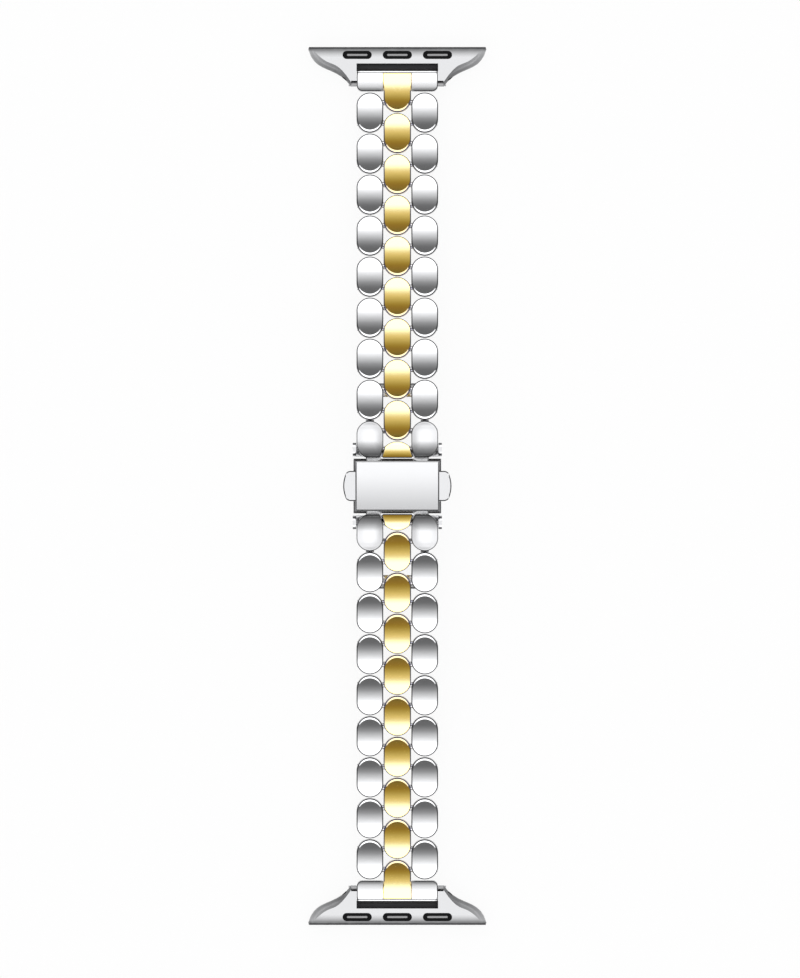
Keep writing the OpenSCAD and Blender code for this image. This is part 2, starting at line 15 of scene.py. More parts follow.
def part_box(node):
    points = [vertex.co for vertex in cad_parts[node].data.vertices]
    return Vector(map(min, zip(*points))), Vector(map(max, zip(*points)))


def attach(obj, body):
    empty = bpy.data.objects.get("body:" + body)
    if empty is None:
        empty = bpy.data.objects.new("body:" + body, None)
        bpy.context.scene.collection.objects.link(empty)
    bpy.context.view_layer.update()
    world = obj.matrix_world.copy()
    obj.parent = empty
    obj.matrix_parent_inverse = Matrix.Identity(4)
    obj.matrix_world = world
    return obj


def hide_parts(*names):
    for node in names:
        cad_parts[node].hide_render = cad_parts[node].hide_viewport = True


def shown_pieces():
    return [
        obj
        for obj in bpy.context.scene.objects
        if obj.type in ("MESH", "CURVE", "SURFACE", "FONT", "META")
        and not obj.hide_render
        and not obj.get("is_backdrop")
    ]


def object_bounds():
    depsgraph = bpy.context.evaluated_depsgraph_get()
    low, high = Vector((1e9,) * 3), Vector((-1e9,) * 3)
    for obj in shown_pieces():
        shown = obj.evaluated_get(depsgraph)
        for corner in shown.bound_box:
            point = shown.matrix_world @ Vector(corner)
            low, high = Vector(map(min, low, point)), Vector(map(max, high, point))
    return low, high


bl_info = {
    "name": "Metal Watch Bracelet",
    "version": (1, 0, 0),
    "blender": (4, 5, 0),
    "location": "3D View > Sidebar > Bracelet",
    "description": "Links, clasp, watch adapters and studio of a two-tone metal watch bracelet",
    "category": "Object",
}

MM = 0.001
UP = Vector((0, 0, 1))
QUARTER = math.pi / 2
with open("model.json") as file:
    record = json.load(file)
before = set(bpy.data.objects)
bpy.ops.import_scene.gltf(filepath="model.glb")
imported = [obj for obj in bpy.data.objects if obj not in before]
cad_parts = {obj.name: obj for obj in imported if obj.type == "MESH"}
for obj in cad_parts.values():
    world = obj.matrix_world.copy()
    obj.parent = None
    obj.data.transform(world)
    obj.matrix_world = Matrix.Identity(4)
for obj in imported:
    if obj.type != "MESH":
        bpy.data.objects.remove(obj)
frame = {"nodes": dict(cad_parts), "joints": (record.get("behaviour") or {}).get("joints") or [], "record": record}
CAD_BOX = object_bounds()
JOINTS = {joint["name"]: joint for joint in frame["joints"]}
HALVES = ("a", "b")
ROWS = sum(1 for name in frame["nodes"] if name.startswith("outer_row_a"))


def node_size(name):
    """Width, depth and height of a CAD node at rest, in metres."""
    low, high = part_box(name)
    return Vector(high) - Vector(low)


BAND_WIDTH = node_size("outer_row_a2").x
CENTRE_WIDTH = node_size("centre_link_a1").x


def distance(name, default, description):
    """A property for a length, whose default is given in millimetres."""
    return FloatProperty(name=name, description=description, default=default * MM, unit="LENGTH")


def share(name, default, description, highest=1.0):
    """A property between 0 and a highest value."""
    return FloatProperty(name=name, description=description, default=default, min=0, max=highest,
                         subtype="FACTOR")


def tint(name, default, description):
    """A property for a colour."""
    return FloatVectorProperty(name=name, description=description, default=default, size=3, min=0,
                               max=1, subtype="COLOR")


class LinkSizes(PropertyGroup):
    """Sizes of the pill-shaped links."""

    outer_width: distance("Outer link width", 3.9, "Width of a silver link")
    length: distance("Link length", 5.85, "Length of a link from end to end")
    crown: distance("Crown height", 1.35, "Height of a link's crown above its pins")
    crown_drop: distance("Crown drop", 0.55, "How far the crown falls towards both ends")
    under: distance("Underside depth", 1.25, "Depth of the flat underside below the pins")
    relief_length: distance("Relief length", 0.3, "Length of the relief under both ends")
    relief_height: distance("Relief height", 0.75, "Height of the relief under both ends")
    bevel_length: distance("End bevel length", 0.17,
                           "Length of the bright bevel at the clasp-side end")
    bevel_drop: distance("End bevel drop", 0.075,
                         "Height of the bright bevel at the clasp-side end")
    # The rounded edge round the crown gets painted shade, which draws the links' dark outlines
    edge: distance("Edge rounding", 0.16, "Radius of the worn edge round the crown")
    pin: distance("Pin diameter", 0.8, "Diameter of the link pins that show on the flanks")
    pin_sunk: distance("Pin depth", 0.1, "Depth to which the pins' ends are sunk")


class ClaspSizes(PropertyGroup):
    """Sizes of the polished parts of the clasp."""

    cover_crown: distance("Cover crown", 0.09, "Height by which the cover's top is crowned")
    cover_edge: distance("Cover edge", 0.16, "Width of the edge round the cover's top")
    wing_edge: distance("Wing edge", 0.12, "Rounding of the folding wings' edges")
    button_corner: distance("Button corner", 0.5, "Radius of the push buttons' corners")
    first_crest: distance("First link crest", 1.3, "Height of the first links above the wing's pin")
    first_arch: distance("First link arch", 7.2, "Radius of the first links' crown, along the band")
    # Where the painted shade of the first links' tops starts
    first_shade_start: share("First link rim", 0.3,
                      "Share of the way to the edge at which the first links get duller", 0.9)
    tongue_crest: distance("Tongue crest", 1.16, "Height of the clasp tongue above the wing's pin")
    tongue_arch: distance("Tongue arch", 3, "Radius of the clasp tongue's crown, along the band")


class EndSizes(PropertyGroup):
    """Sizes of the dressed end bars and adapters."""

    bar_crest: distance("End bar crest", 1.24, "Height of the end bar above its spring bar")
    bar_arch: distance("End bar arch", 8, "Radius of the end bar's top towards the watch")
    bar_fall: distance("End bar fall", 3, "Radius of the end bar's top towards the clasp")
    bar_edge: distance("Slot bar edge", 0.1, "Rounding of the bars in the adapters' slots")
    # Width of the painted shade along the adapter's watch side
    edge_shade_width: distance("Dark edge", 1.55, "Width of the strip of painted shade along the adapter's watch side")


class FinishColours(PropertyGroup):
    """Colours and gloss of the finishes."""

    silver: tint("Silver", (0.79, 0.795, 0.81), "Colour of the polished silver parts")
    gold: tint("Gold", (1.0, 0.68, 0.14), "Colour of the gold-plated links")
    steel: tint("Steel", (0.56, 0.56, 0.57), "Colour of the bare steel inside the clasp")
    slot_steel: tint("Slot steel", (0.36, 0.36, 0.365), "Colour of the bars in the adapters' slots")
    # Painted shade colour of the adapters' outer edge and flanks
    satin_shade: tint("Satin edge", (0.035, 0.035, 0.037),
                     "Colour of the painted shade on the adapters' outer edge and flanks")
    # The cover's walls are silver darkened as painted shade
    wall: tint("Cover wall", (0.5, 0.5, 0.51), "Colour of the walls of the clasp's cover, darkened as painted shade")
    # Painted shade deep in the adapters' pockets and in the middle of the wings' frames
    recess: tint("Recess", (0.05, 0.05, 0.053), "Colour of the painted shade deep in the adapters' pockets and the wings' frames")
    # Own colour of the plastic rings; also the painted shade in the pin holes, on the slot bars' edges and under
    # the recess shade
    black: tint("Black", (0.004, 0.004, 0.0045), "Colour of the plastic rings in the adapters")
    # Colours of the painted shade that the Shade attribute lays on edges, flanks and hollows
    silver_shade: tint("Silver edge", (0.06, 0.06, 0.064),
                      "Colour of the painted shade on the silver's edges and recesses")
    gold_shade: tint("Gold edge", (0.10, 0.10, 0.085),
                    "Colour of the painted shade on the gold's edges and recesses")
    polish: share("Polish roughness", 0.1, "Roughness of the polished metal")
    satin: share("Satin roughness", 0.24, "Roughness of the adapters' satin faces")


class StudioSettings(PropertyGroup):
    """Camera and light."""

    camera_height: distance("Camera height", 4000, "Height of the camera above the bracelet")
    view_height: distance("View height", 142.8, "Length that the picture shows at the bracelet")
    centre_x: distance("View centre X", 0.39, "Sideways place of the picture's middle")
    centre_y: distance("View centre Y", -0.44, "Lengthways place of the picture's middle")
    lamp_height: distance("Lamp height", 3000, "Height of the soft boxes above the bracelet")
    lamp_width: distance("Lamp width", 3000, "Width of the adapters' and the clasp's soft boxes")
    box: FloatProperty(name="Box brightness", default=1.7, min=0,
                       description="Brightness of the soft box at the far side")
    dusk: FloatProperty(name="Dark zone", default=0.15, min=0,
                        description="Brightness of the room's ceiling in the metal")


class Field:
    """A socket's value in Python formulas: each operation adds a Math node to its tree."""

    def __init__(self, socket):
        self.socket = socket

    def math(self, operation, *others, first=()):
        """This value after the first ones and before the others, put through a Math node."""
        made = add_node(self.socket.id_data, "ShaderNodeMath",
                        dict(enumerate((*first, self, *others))), operation=operation)
        return Field(made.outputs[0])

    __add__ = __radd__ = partialmethod(math, "ADD")
    __mul__ = __rmul__ = partialmethod(math, "MULTIPLY")
    __sub__ = partialmethod(math, "SUBTRACT")
    __truediv__ = partialmethod(math, "DIVIDE")
    __pow__ = partialmethod(math, "POWER")
    at_least = partialmethod(math, "MAXIMUM")
    at_most = partialmethod(math, "MINIMUM")
    sin = partialmethod(math, "SINE")
    cos = partialmethod(math, "COSINE")
    root = partialmethod(math, "SQRT")
    abs = partialmethod(math, "ABSOLUTE")

    def __rsub__(self, other):
        return self.math("SUBTRACT", first=(other,))

    def __rtruediv__(self, other):
        return self.math("DIVIDE", first=(other,))

    def step(self, start, length=1.0):
        """0 before start, 1 after start + length, and straight between them."""
        return ((self - start) / length).at_least(0.0).at_most(1.0)


def add_node(tree, kind, inputs=None, **settings):
    """A new node in a tree; its inputs are given as constants, sockets or fields."""
    made = tree.nodes.new(kind)
    for label, value in settings.items():
        setattr(made, label, value)
    for label, value in (inputs or {}).items():
        feed(value, made, label)
    return made


def feed(value, node, label=0):
    """Gives a constant, a socket or a field to a node's input."""
    if isinstance(value, Field):
        value = value.socket
    if isinstance(value, bpy.types.NodeSocket):
        value.id_data.links.new(value, node.inputs[label])
    else:
        node.inputs[label].default_value = value


def new_tree(name, kind, inputs, outputs):
    """A node tree with named inputs and outputs, and its input and output nodes."""
    tree = bpy.data.node_groups.new(name, kind)
    for direction, sockets in (("INPUT", inputs), ("OUTPUT", outputs)):
        for label, socket in sockets:
            tree.interface.new_socket(label, in_out=direction, socket_type=socket)
    return tree, tree.nodes.new("NodeGroupInput"), tree.nodes.new("NodeGroupOutput")


GEOMETRY = [("Geometry", "NodeSocketGeometry")]
LINK_SIZES = (
    "Width", "Length", "Crown", "Crown Drop", "Under", "Relief Length", "Relief Height",
    "Bevel Length", "Bevel Drop", "Edge", "Square End", "Offset", "Pin Distance", "Pin Radius",
    "Pin Length")
LINK_INPUTS = [(label, "NodeSocketFloat") for label in LINK_SIZES] + [
    ("Columns", "NodeSocketInt"), ("Finish", "NodeSocketMaterial"),
    ("Pin Finish", "NodeSocketMaterial")]

# Steps round a link, and the rings at which its parts start, from its crown to its underside
ARC_STEPS = 12
FLANK_STEPS = 8
AROUND = 4 * ARC_STEPS + 2 * FLANK_STEPS
BEVEL_RING, ROUND_RING, FLANK_RING, LOWER_RING, UNDER_RING, RINGS = 8, 11, 15, 18, 20, 25


def around_link(column):
    """Sine and cosine of the turn round a link, and how far its end circle has been passed.

    The outline is two half circles joined by two straight flanks.
    """
    arc, flank = ARC_STEPS, FLANK_STEPS
    first, second = column.step(arc, flank), column.step(3 * arc + flank, flank)
    turn = (column.step(0, arc) + 2.0 * column.step(arc + flank, 2 * arc)
            + column.step(3 * arc + 2 * flank, arc)) * QUARTER
    return turn.sin(), turn.cos(), first - second


def link_place(size, column, ring):
    """Place of a grid's point on a link: columns go round it, and rings from crown to underside."""
    across, ahead, there = around_link(column)
    radius = size["Width"] * 0.5
    half = size["Length"] * 0.5 - radius
    top_centre = half - (half * 2.0 - size["Bevel Length"]) * there
    base_centre = half - half * 2.0 * there

    # The rings crowd beside each edge, which keeps its shading out of the faces
    spread = (0.985 * ring.step(0, BEVEL_RING - 1) + 0.015 * ring.step(BEVEL_RING - 1)
              - 0.03 * ring.step(UNDER_RING)
              - 0.97 * ring.step(UNDER_RING + 1, RINGS - UNDER_RING - 1))
    bevel = (0.06 * ring.step(BEVEL_RING) + 0.88 * ring.step(BEVEL_RING + 1)
             + 0.06 * ring.step(BEVEL_RING + 2))
    upper = ring.step(ROUND_RING, FLANK_RING - ROUND_RING) * QUARTER
    lower = ring.step(LOWER_RING, UNDER_RING - LOWER_RING) * QUARTER

    # A square end has a sharper edge
    at_square = size["Square End"] * (ahead * 1000.0).step(0)
    edge = size["Edge"] * (1.0 - 0.75 * at_square)
    foot = edge * 0.6
    margin = edge * 0.3
    inset = (edge * (1.0 - upper.sin()) + margin * (1.0 - bevel) + foot * (1.0 - lower.cos()))
    centre = top_centre + (base_centre - top_centre) * bevel
    largest = across.abs().at_least(ahead.abs())
    squared = 1.0 + (1.0 / largest - 1.0) * at_square
    x = spread * (radius - inset) * across * squared
    y = spread * (centre + (radius - inset) * ahead * squared)

    towards_clasp = (ahead * -1.0).at_least(0.0)
    high = (link_crown(size, y) - size["Bevel Drop"] * towards_clasp * bevel
            - edge * (1.0 - upper.cos()) - margin * ring.step(FLANK_RING))
    low = (link_base(size, y) + foot * (1.0 - lower.sin())
           + margin * (1.0 - ring.step(LOWER_RING - 1)))
    return x, y, high + (low - high) * ring.step(FLANK_RING + 1)


def link_crown(size, y):
    """Height of the arch over a link's top."""
    drop, reach = size["Crown Drop"], size["Length"] * 0.5
    arch = (reach * reach + drop * drop) / (drop * 2.0)
    return size["Crown"] - arch + (arch * arch - y * y).root()


def link_base(size, y):
    """Height of a link's flat underside, which has a relief at both ends."""
    start = size["Length"] * 0.5 - size["Relief Length"]
    relief = ((y.abs() - start) / size["Relief Length"]).at_least(0.0)
    return size["Relief Height"] * relief - size["Under"]


def marked(tree, geometry, name, kind, domain, value):
    """The geometry with a named attribute."""
    return add_node(tree, "GeometryNodeStoreNamedAttribute", {
        "Geometry": geometry, "Name": name, "Value": value},
        data_type=kind, domain=domain).outputs[0]


def on_line(tree, geometry, count, axis, reach, turn=(0, 0, 0)):
    """Instances of a geometry on a line that runs from -reach to reach along an axis."""
    ends = {label: add_node(tree, "ShaderNodeCombineXYZ", {axis: reach * sign}).outputs[0]
            for label, sign in (("Start Location", -1.0), ("Offset", 1.0))}
    line = add_node(tree, "GeometryNodeMeshLine", {"Count": count, **ends}, mode="END_POINTS")
    return add_node(tree, "GeometryNodeInstanceOnPoints", {
        "Points": line.outputs[0], "Instance": geometry, "Rotation": turn}).outputs[0]


def link_tree():
    """Geometry tree that makes the links of one row side by side, with the ends of their pins."""
    tree, start, end = new_tree("Link Row", "GeometryNodeTree", GEOMETRY + LINK_INPUTS, GEOMETRY)
    size = {label: Field(start.outputs[label]) for label in LINK_SIZES}
    grid = add_node(tree, "GeometryNodeMeshGrid", {
        "Size X": AROUND, "Size Y": RINGS, "Vertices X": AROUND + 1, "Vertices Y": RINGS + 1})
    parts = add_node(tree, "ShaderNodeSeparateXYZ", {
        0: add_node(tree, "GeometryNodeInputPosition").outputs[0]})
    column = Field(parts.outputs[0]) + AROUND / 2
    ring = Field(parts.outputs[1]) + RINGS / 2

    # Painted shade: darkest on the rounded edge, less on the flanks and underside, none on the crown
    painted_shade = ring.step(ROUND_RING - 0.8, 0.8) * (1.0 - 0.6 * ring.step(FLANK_RING + 0.5))
    shade = marked(tree, grid.outputs["Mesh"], "Shade", "FLOAT", "POINT", painted_shade)
    place = add_node(tree, "ShaderNodeCombineXYZ", dict(enumerate(link_place(size, column, ring))))
    shape = add_node(tree, "GeometryNodeSetPosition", {
        "Geometry": shade, "Position": place.outputs[0]})
    merge = add_node(tree, "GeometryNodeMergeByDistance", {
        "Geometry": shape.outputs[0], "Distance": 0.0005 * MM})
    smooth = add_node(tree, "GeometryNodeSetShadeSmooth", {"Geometry": merge.outputs[0]})
    row = on_line(tree, smooth.outputs[0], start.outputs["Columns"], 0, size["Offset"])

    pin = add_node(tree, "GeometryNodeMeshCylinder", {
        "Vertices": 32, "Radius": size["Pin Radius"], "Depth": size["Pin Length"]})
    pins = on_line(tree, marked(tree, pin.outputs["Mesh"], "Pin", "BOOLEAN", "FACE", True), 2, 1,
                   size["Pin Distance"] * 0.5, (0, QUARTER, 0))
    both = add_node(tree, "GeometryNodeJoinGeometry")
    for part in (pins, row):
        feed(part, both)
    real = add_node(tree, "GeometryNodeRealizeInstances", {0: both.outputs[0]})
    finish = add_node(tree, "GeometryNodeSetMaterial", {
        "Geometry": real.outputs[0], "Material": start.outputs["Finish"]})
    is_pin = add_node(tree, "GeometryNodeInputNamedAttribute", {"Name": "Pin"},
                      data_type="BOOLEAN")
    pin_finish = add_node(tree, "GeometryNodeSetMaterial", {
        "Geometry": finish.outputs[0], "Selection": is_pin.outputs[0],
        "Material": start.outputs["Pin Finish"]})
    feed(pin_finish.outputs[0], end)
    return tree


def add_piece(name, data):
    """A new object in the scene, made of a mesh, a light or a camera."""
    made = bpy.data.objects.new(name, data)
    bpy.context.collection.objects.link(made)
    return made


def grow(name, tree, values):
    """A plain mesh object made by a geometry tree with these input values."""
    seed = add_piece(name + "_seed", bpy.data.meshes.new(name + "_seed"))
    modifier = seed.modifiers.new("Shape", "NODES")
    modifier.node_group = tree
    sockets = {item.name: item.identifier for item in tree.interface.items_tree
               if item.in_out == "INPUT"}
    for label, value in values.items():
        modifier[sockets[label]] = value
    seed.update_tag()
    evaluated = seed.evaluated_get(bpy.context.evaluated_depsgraph_get())
    mesh = bpy.data.meshes.new_from_object(evaluated)
    mesh.name = name
    bpy.data.objects.remove(seed)
    return add_piece(name, mesh)


def joint_place(name):
    """Place of a joint at rest."""
    return Vector(JOINTS[name]["pos_m"])


def on_band(half, along, from_joint):
    """Matrix of a place on the sloping band: +Y away from the clasp and +Z out of the links."""
    there = joint_place("adapter_%s_tilt" % half)
    forward = (there - joint_place("link_%s0" % half)).normalized()
    side = Vector((1, 0, 0)) if half == "a" else Vector((-1, 0, 0))
    turned = Matrix((side, forward, side.cross(forward))).transposed().to_4x4()
    return Matrix.Translation(joint_place(from_joint) + forward * along) @ turned


def dress(piece, node, body):
    """The piece stands for a CAD node, which it hides, and rides on its body."""
    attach(piece, body)
    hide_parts(node)


def rounded(corners, steps=12, longest=0.35 * MM):
    """Outline through corners (x, y, radius), each replaced by an arc, with close points."""
    points = []
    for n, (x, y, radius) in enumerate(corners):
        here = Vector((x, y))
        before, after = (Vector(corners[(n + k) % len(corners)][:2]) - here for k in (-1, 1))
        if radius <= 0:
            points.append(here)
            continue
        half = before.angle(after) / 2
        bisector = (before.normalized() + after.normalized()).normalized()
        centre = here + bisector * (radius / math.sin(half))
        start = here + before.normalized() * (radius / math.tan(half)) - centre
        sweep = math.pi - 2 * half
        for k in range(steps + 1):
            a = sweep * k / steps
            points.append(centre + Vector((start.x * math.cos(a) - start.y * math.sin(a),
                                           start.x * math.sin(a) + start.y * math.cos(a))))
    return spaced(points, longest)


def spaced(points, longest):
    """A closed outline without double points, whose long edges are cut in pieces."""
    made = []
    for n, here in enumerate(points):
        there = points[(n + 1) % len(points)]
        gap = (there - here).length
        if gap < 0.001 * MM:
            continue
        count = max(1, math.ceil(gap / longest))
        made += [here.lerp(there, k / count) for k in range(count)]
    return made


def clamped(value):
    """The value, held between 0 and 1."""
    return min(1.0, max(0.0, value))


def arc_height(radius, away):
    """Height of a circle over its middle at a distance from it."""
    return math.sqrt(max(0.0, radius ** 2 - away ** 2))


def in_mm(corners, side=1):
    """Corners (x, y, radius) given in millimetres, mirrored where side is -1."""
    return [(side * x * MM, y * MM, radius * MM) for x, y, radius in corners[::side]]


def set_in(outline, distance):
    """An outline moved inwards by a distance; it runs anticlockwise."""
    made = []
    for n, here in enumerate(outline):
        before, after = outline[n - 1], outline[(n + 1) % len(outline)]
        along = (after - before).normalized()
        made.append(here + Vector((-along.y, along.x)) * distance)
    return made


# Shade of a slab's flanks and underside, and steps over its rounded edge
FLANK_SHADE = 0.4
EDGE_STEPS = 5


def slab_loops(outline, centre, top, low, edge, rings, rim):
    """Closed loops of a slab's points, from the middle of its top to that of its underside.

    Each point is a place x, y, z and a shade.
    """
    inner = set_in(outline, edge)
    shaded = rim or (lambda place, part: 0.0)
    # The painted shade on the rounded edge rises to this, less where the top has its own painted rim shade
    edge_shade_cap = 0.85 if rim else 1.0
    loops = []
    for k in range(1, rings + 1):
        part = k / rings
        places = [centre + (point - centre) * part for point in inner]
        loops.append([(*place, top(*place), shaded(place, part)) for place in places])
    for k in range(1, EDGE_STEPS + 1):
        a = QUARTER * k / EDGE_STEPS
        places = set_in(outline, edge * (1 - math.sin(a)))
        loops.append([(x, y, top(*inner[n]) - edge * (1 - math.cos(a)),
                       max(shaded(inner[n], 1.0), min(edge_shade_cap, k / 1.2)))
                      for n, (x, y) in enumerate(places)])
    foot = edge * 0.6
    last = loops[-1]
    loops.append([(x, y, z - (z - low(x, y) - foot) * 0.12, FLANK_SHADE) for x, y, z, _ in last])
    loops.append([(x, y, low(x, y) + foot, FLANK_SHADE) for x, y, _, _ in last])
    under = set_in(outline, foot)
    for part in (1, 0.75, 0.5, 0.25):
        places = [centre.lerp(point, part) for point in under]
        loops.append([(x, y, low(x, y), FLANK_SHADE) for x, y in places])
    return loops


def slab(name, outline, centre, top, low, edge, finish, rings=12, rim=None):
    """A closed piece with a crowned top, a rounded edge, upright flanks and an underside; the edge, flanks and
    underside get painted shade.

    outline runs anticlockwise round centre; top and low give heights over a place (x, y). rim
    gives the painted shade of the top at a place and at a share of the way from its centre to its edge.
    """
    centre = Vector(centre)
    loops = slab_loops(outline, centre, top, low, edge, rings, rim)
    points = [(*centre, top(*centre), 0.0)]
    points += [point for loop in loops for point in loop]
    points.append((*centre, low(*centre), FLANK_SHADE))
    count, end = len(outline), len(points) - 1
    faces = [(0, 1 + n, 1 + (n + 1) % count) for n in range(count)]
    for k in range(len(loops) - 1):
        a, b = 1 + k * count, 1 + (k + 1) * count
        faces += [(a + n, b + n, b + (n + 1) % count, a + (n + 1) % count) for n in range(count)]
    b = end - count
    faces += [(end, b + (n + 1) % count, b + n) for n in range(count)]
    mesh = bpy.data.meshes.new(name)
    mesh.from_pydata([point[:3] for point in points], [], faces)
    shades = mesh.attributes.new("Shade", "FLOAT", "POINT")
    shades.data.foreach_set("value", [point[3] for point in points])
    mesh.shade_smooth()
    mesh.materials.append(bpy.data.materials[finish])
    return add_piece(name, mesh)


def rod(name, radius, length, finish, steps=32):
    """A round bar along X with rounded ends."""
    sections = [(-0.5, 0.0), (-0.5, 0.8), (-0.47, 1.0), (0.47, 1.0), (0.5, 0.8), (0.5, 0.0)]
    verts, faces = [], []
    for along, wide in sections:
        for n in range(steps):
            a = 2 * math.pi * n / steps
            verts.append((along * length, math.cos(a) * radius * wide, math.sin(a) * radius * wide))
    for k in range(len(sections) - 1):
        for n in range(steps):
            a, b = k * steps + n, k * steps + (n + 1) % steps
            faces.append((a, b, b + steps, a + steps))
    mesh = bpy.data.meshes.new(name)
    mesh.from_pydata(verts, [], faces)
    with editing(mesh) as shape:
        bmesh.ops.remove_doubles(shape, verts=shape.verts, dist=0.001 * MM)
        bmesh.ops.recalc_face_normals(shape, faces=shape.faces)
    mesh.shade_smooth()
    mesh.set_sharp_from_angle(angle=math.radians(40))
    mesh.materials.append(bpy.data.materials[finish])
    return add_piece(name, mesh)


@contextmanager
def editing(mesh):
    """Opens a mesh for editing and writes it back."""
    shape = bmesh.new()
    shape.from_mesh(mesh)
    yield shape
    shape.to_mesh(mesh)
    shape.free()


def joined(name, pieces):
    """One mesh object made of several, which are removed."""
    shape = bmesh.new()
    finishes = []
    for piece in pieces:
        start = len(shape.faces)
        shape.from_mesh(piece.data)
        shape.faces.ensure_lookup_table()
        for face in shape.faces[start:]:
            material = piece.data.materials[face.material_index]
            if material not in finishes:
                finishes.append(material)
            face.material_index = finishes.index(material)
    mesh = bpy.data.meshes.new(name)
    shape.to_mesh(mesh)
    shape.free()
    for material in finishes:
        mesh.materials.append(material)
    for piece in pieces:
        bpy.data.objects.remove(piece)
    return add_piece(name, mesh)


def flat_faces(piece, up, steep=0.6):
    """Keeps a copied piece's flat top and underside truly flat beside their rounded edges."""
    mesh = piece.data
    normals = [corner.vector.copy() for corner in mesh.corner_normals]
    touching = {}
    for face in mesh.polygons:
        level = face.normal.dot(up)
        if abs(level) > 0.9995:
            for vertex in face.vertices:
                touching[vertex] = up if level > 0 else -up
    for face in mesh.polygons:
        for corner in face.loop_indices:
            flat = touching.get(mesh.loops[corner].vertex_index)
            if flat is not None and face.normal.dot(flat) > steep:
                normals[corner] = flat
    mesh.normals_split_custom_set(normals)


def moved(piece, matrix):
    """The piece with its mesh set in place."""
    piece.data.transform(matrix)
    return piece


def shade_sides(piece, up, edge=1.0, side=0.4, flat=0.985):
    """Marks painted shade on a copied CAD piece: most on its tilted edges, less on its upright sides."""
    mesh = piece.data
    values = [0.0] * len(mesh.loops)
    for face in mesh.polygons:
        level = abs(face.normal.dot(up))
        if level < flat:
            for corner in face.loop_indices:
                values[corner] = edge if level > 0.15 else side
    mesh.attributes.new("Shade", "FLOAT", "CORNER").data.foreach_set("value", values)


def ease_shade(piece, test, part):
    """Weakens the shade of a piece at the places that pass a test."""
    for vertex, mark in zip(piece.data.vertices, piece.data.attributes["Shade"].data):
        if test(vertex.co):
            mark.value *= part


def copied(name, node, change=None):
    """A piece with a CAD node's mesh, its points welded; change edits it before it is placed."""
    source = frame["nodes"][node]
    mesh = source.data.copy()
    mesh.name = name
    with editing(mesh) as shape:
        bmesh.ops.remove_doubles(shape, verts=shape.verts, dist=0.0008 * MM)
        if change:
            change(shape)
    piece = add_piece(name, mesh)
    piece.matrix_world = source.matrix_world
    return piece


def settle(piece):
    """Moves the place of a piece from its object into its mesh."""
    piece.data.transform(piece.matrix_world)
    piece.matrix_world = Matrix()


def polished(name, node, width, corners=None, carve=None, clamp=True):
    """A copy of a CAD node whose sharp edges are rounded.

    corners is a radius and a test that says which upright edges get it; carve changes the shape
    once its edges are rounded.
    """
    def prepare(shape):
        bmesh.ops.dissolve_limit(
            shape, angle_limit=math.radians(0.4), verts=shape.verts, edges=shape.edges,
            use_dissolve_boundaries=False)
        if corners:
            radius, test = corners
            upright = [edge for edge in shape.edges
                       if abs((edge.verts[0].co - edge.verts[1].co).normalized().z) > 0.98
                       and test((edge.verts[0].co + edge.verts[1].co) / 2)]
            bmesh.ops.bevel(shape, geom=upright, offset=radius, offset_type="OFFSET", segments=6,
                            profile=0.5, affect="EDGES")

    sharp = math.radians(32)
    piece = copied(name, node, prepare)
    bevel = piece.modifiers.new("Edges", "BEVEL")
    bevel.width = width
    bevel.segments = 3
    bevel.limit_method = "ANGLE"
    bevel.angle_limit = sharp
    bevel.use_clamp_overlap = clamp
    evaluated = piece.evaluated_get(bpy.context.evaluated_depsgraph_get())
    mesh = bpy.data.meshes.new_from_object(evaluated)
    piece.modifiers.clear()
    piece.data = mesh
    settle(piece)
    if carve:
        with editing(mesh) as shape:
            carve(shape)
    mesh.shade_smooth()
    mesh.set_sharp_from_angle(angle=sharp)
    return piece


def crowned(shape, top, height, step):
    """Cuts a flat top at this height in strips and lifts its middle over its rim."""
    def at_top(vert):
        return abs(vert.co.z - top) < 0.01 * MM

    over = [v for v in shape.verts if at_top(v)]
    reach = [max(abs(v.co[axis]) for v in over) for axis in (0, 1)]
    rim = 0.04 * MM
    for far, normal in zip(reach, (Vector((1, 0, 0)), Vector((0, 1, 0)))):
        count = int(2 * far / step)
        places = [2 * far * k / count - far for k in range(1, count)] + [rim - far, far - rim]
        for cut in places:
            faces = [f for f in shape.faces if all(at_top(v) for v in f.verts)]
            edges = {e for f in faces for e in f.edges}
            verts = {v for f in faces for v in f.verts}
            bmesh.ops.bisect_plane(shape, geom=[*faces, *edges, *verts], dist=0.0001 * MM,
                                   plane_co=normal * cut, plane_no=normal)
    for v in shape.verts:
        if v.co.z > top - height:
            fall = (v.co.x / reach[0]) ** 2 * 0.5 + (v.co.y / reach[1]) ** 2
            v.co.z -= height * fall / 1.5


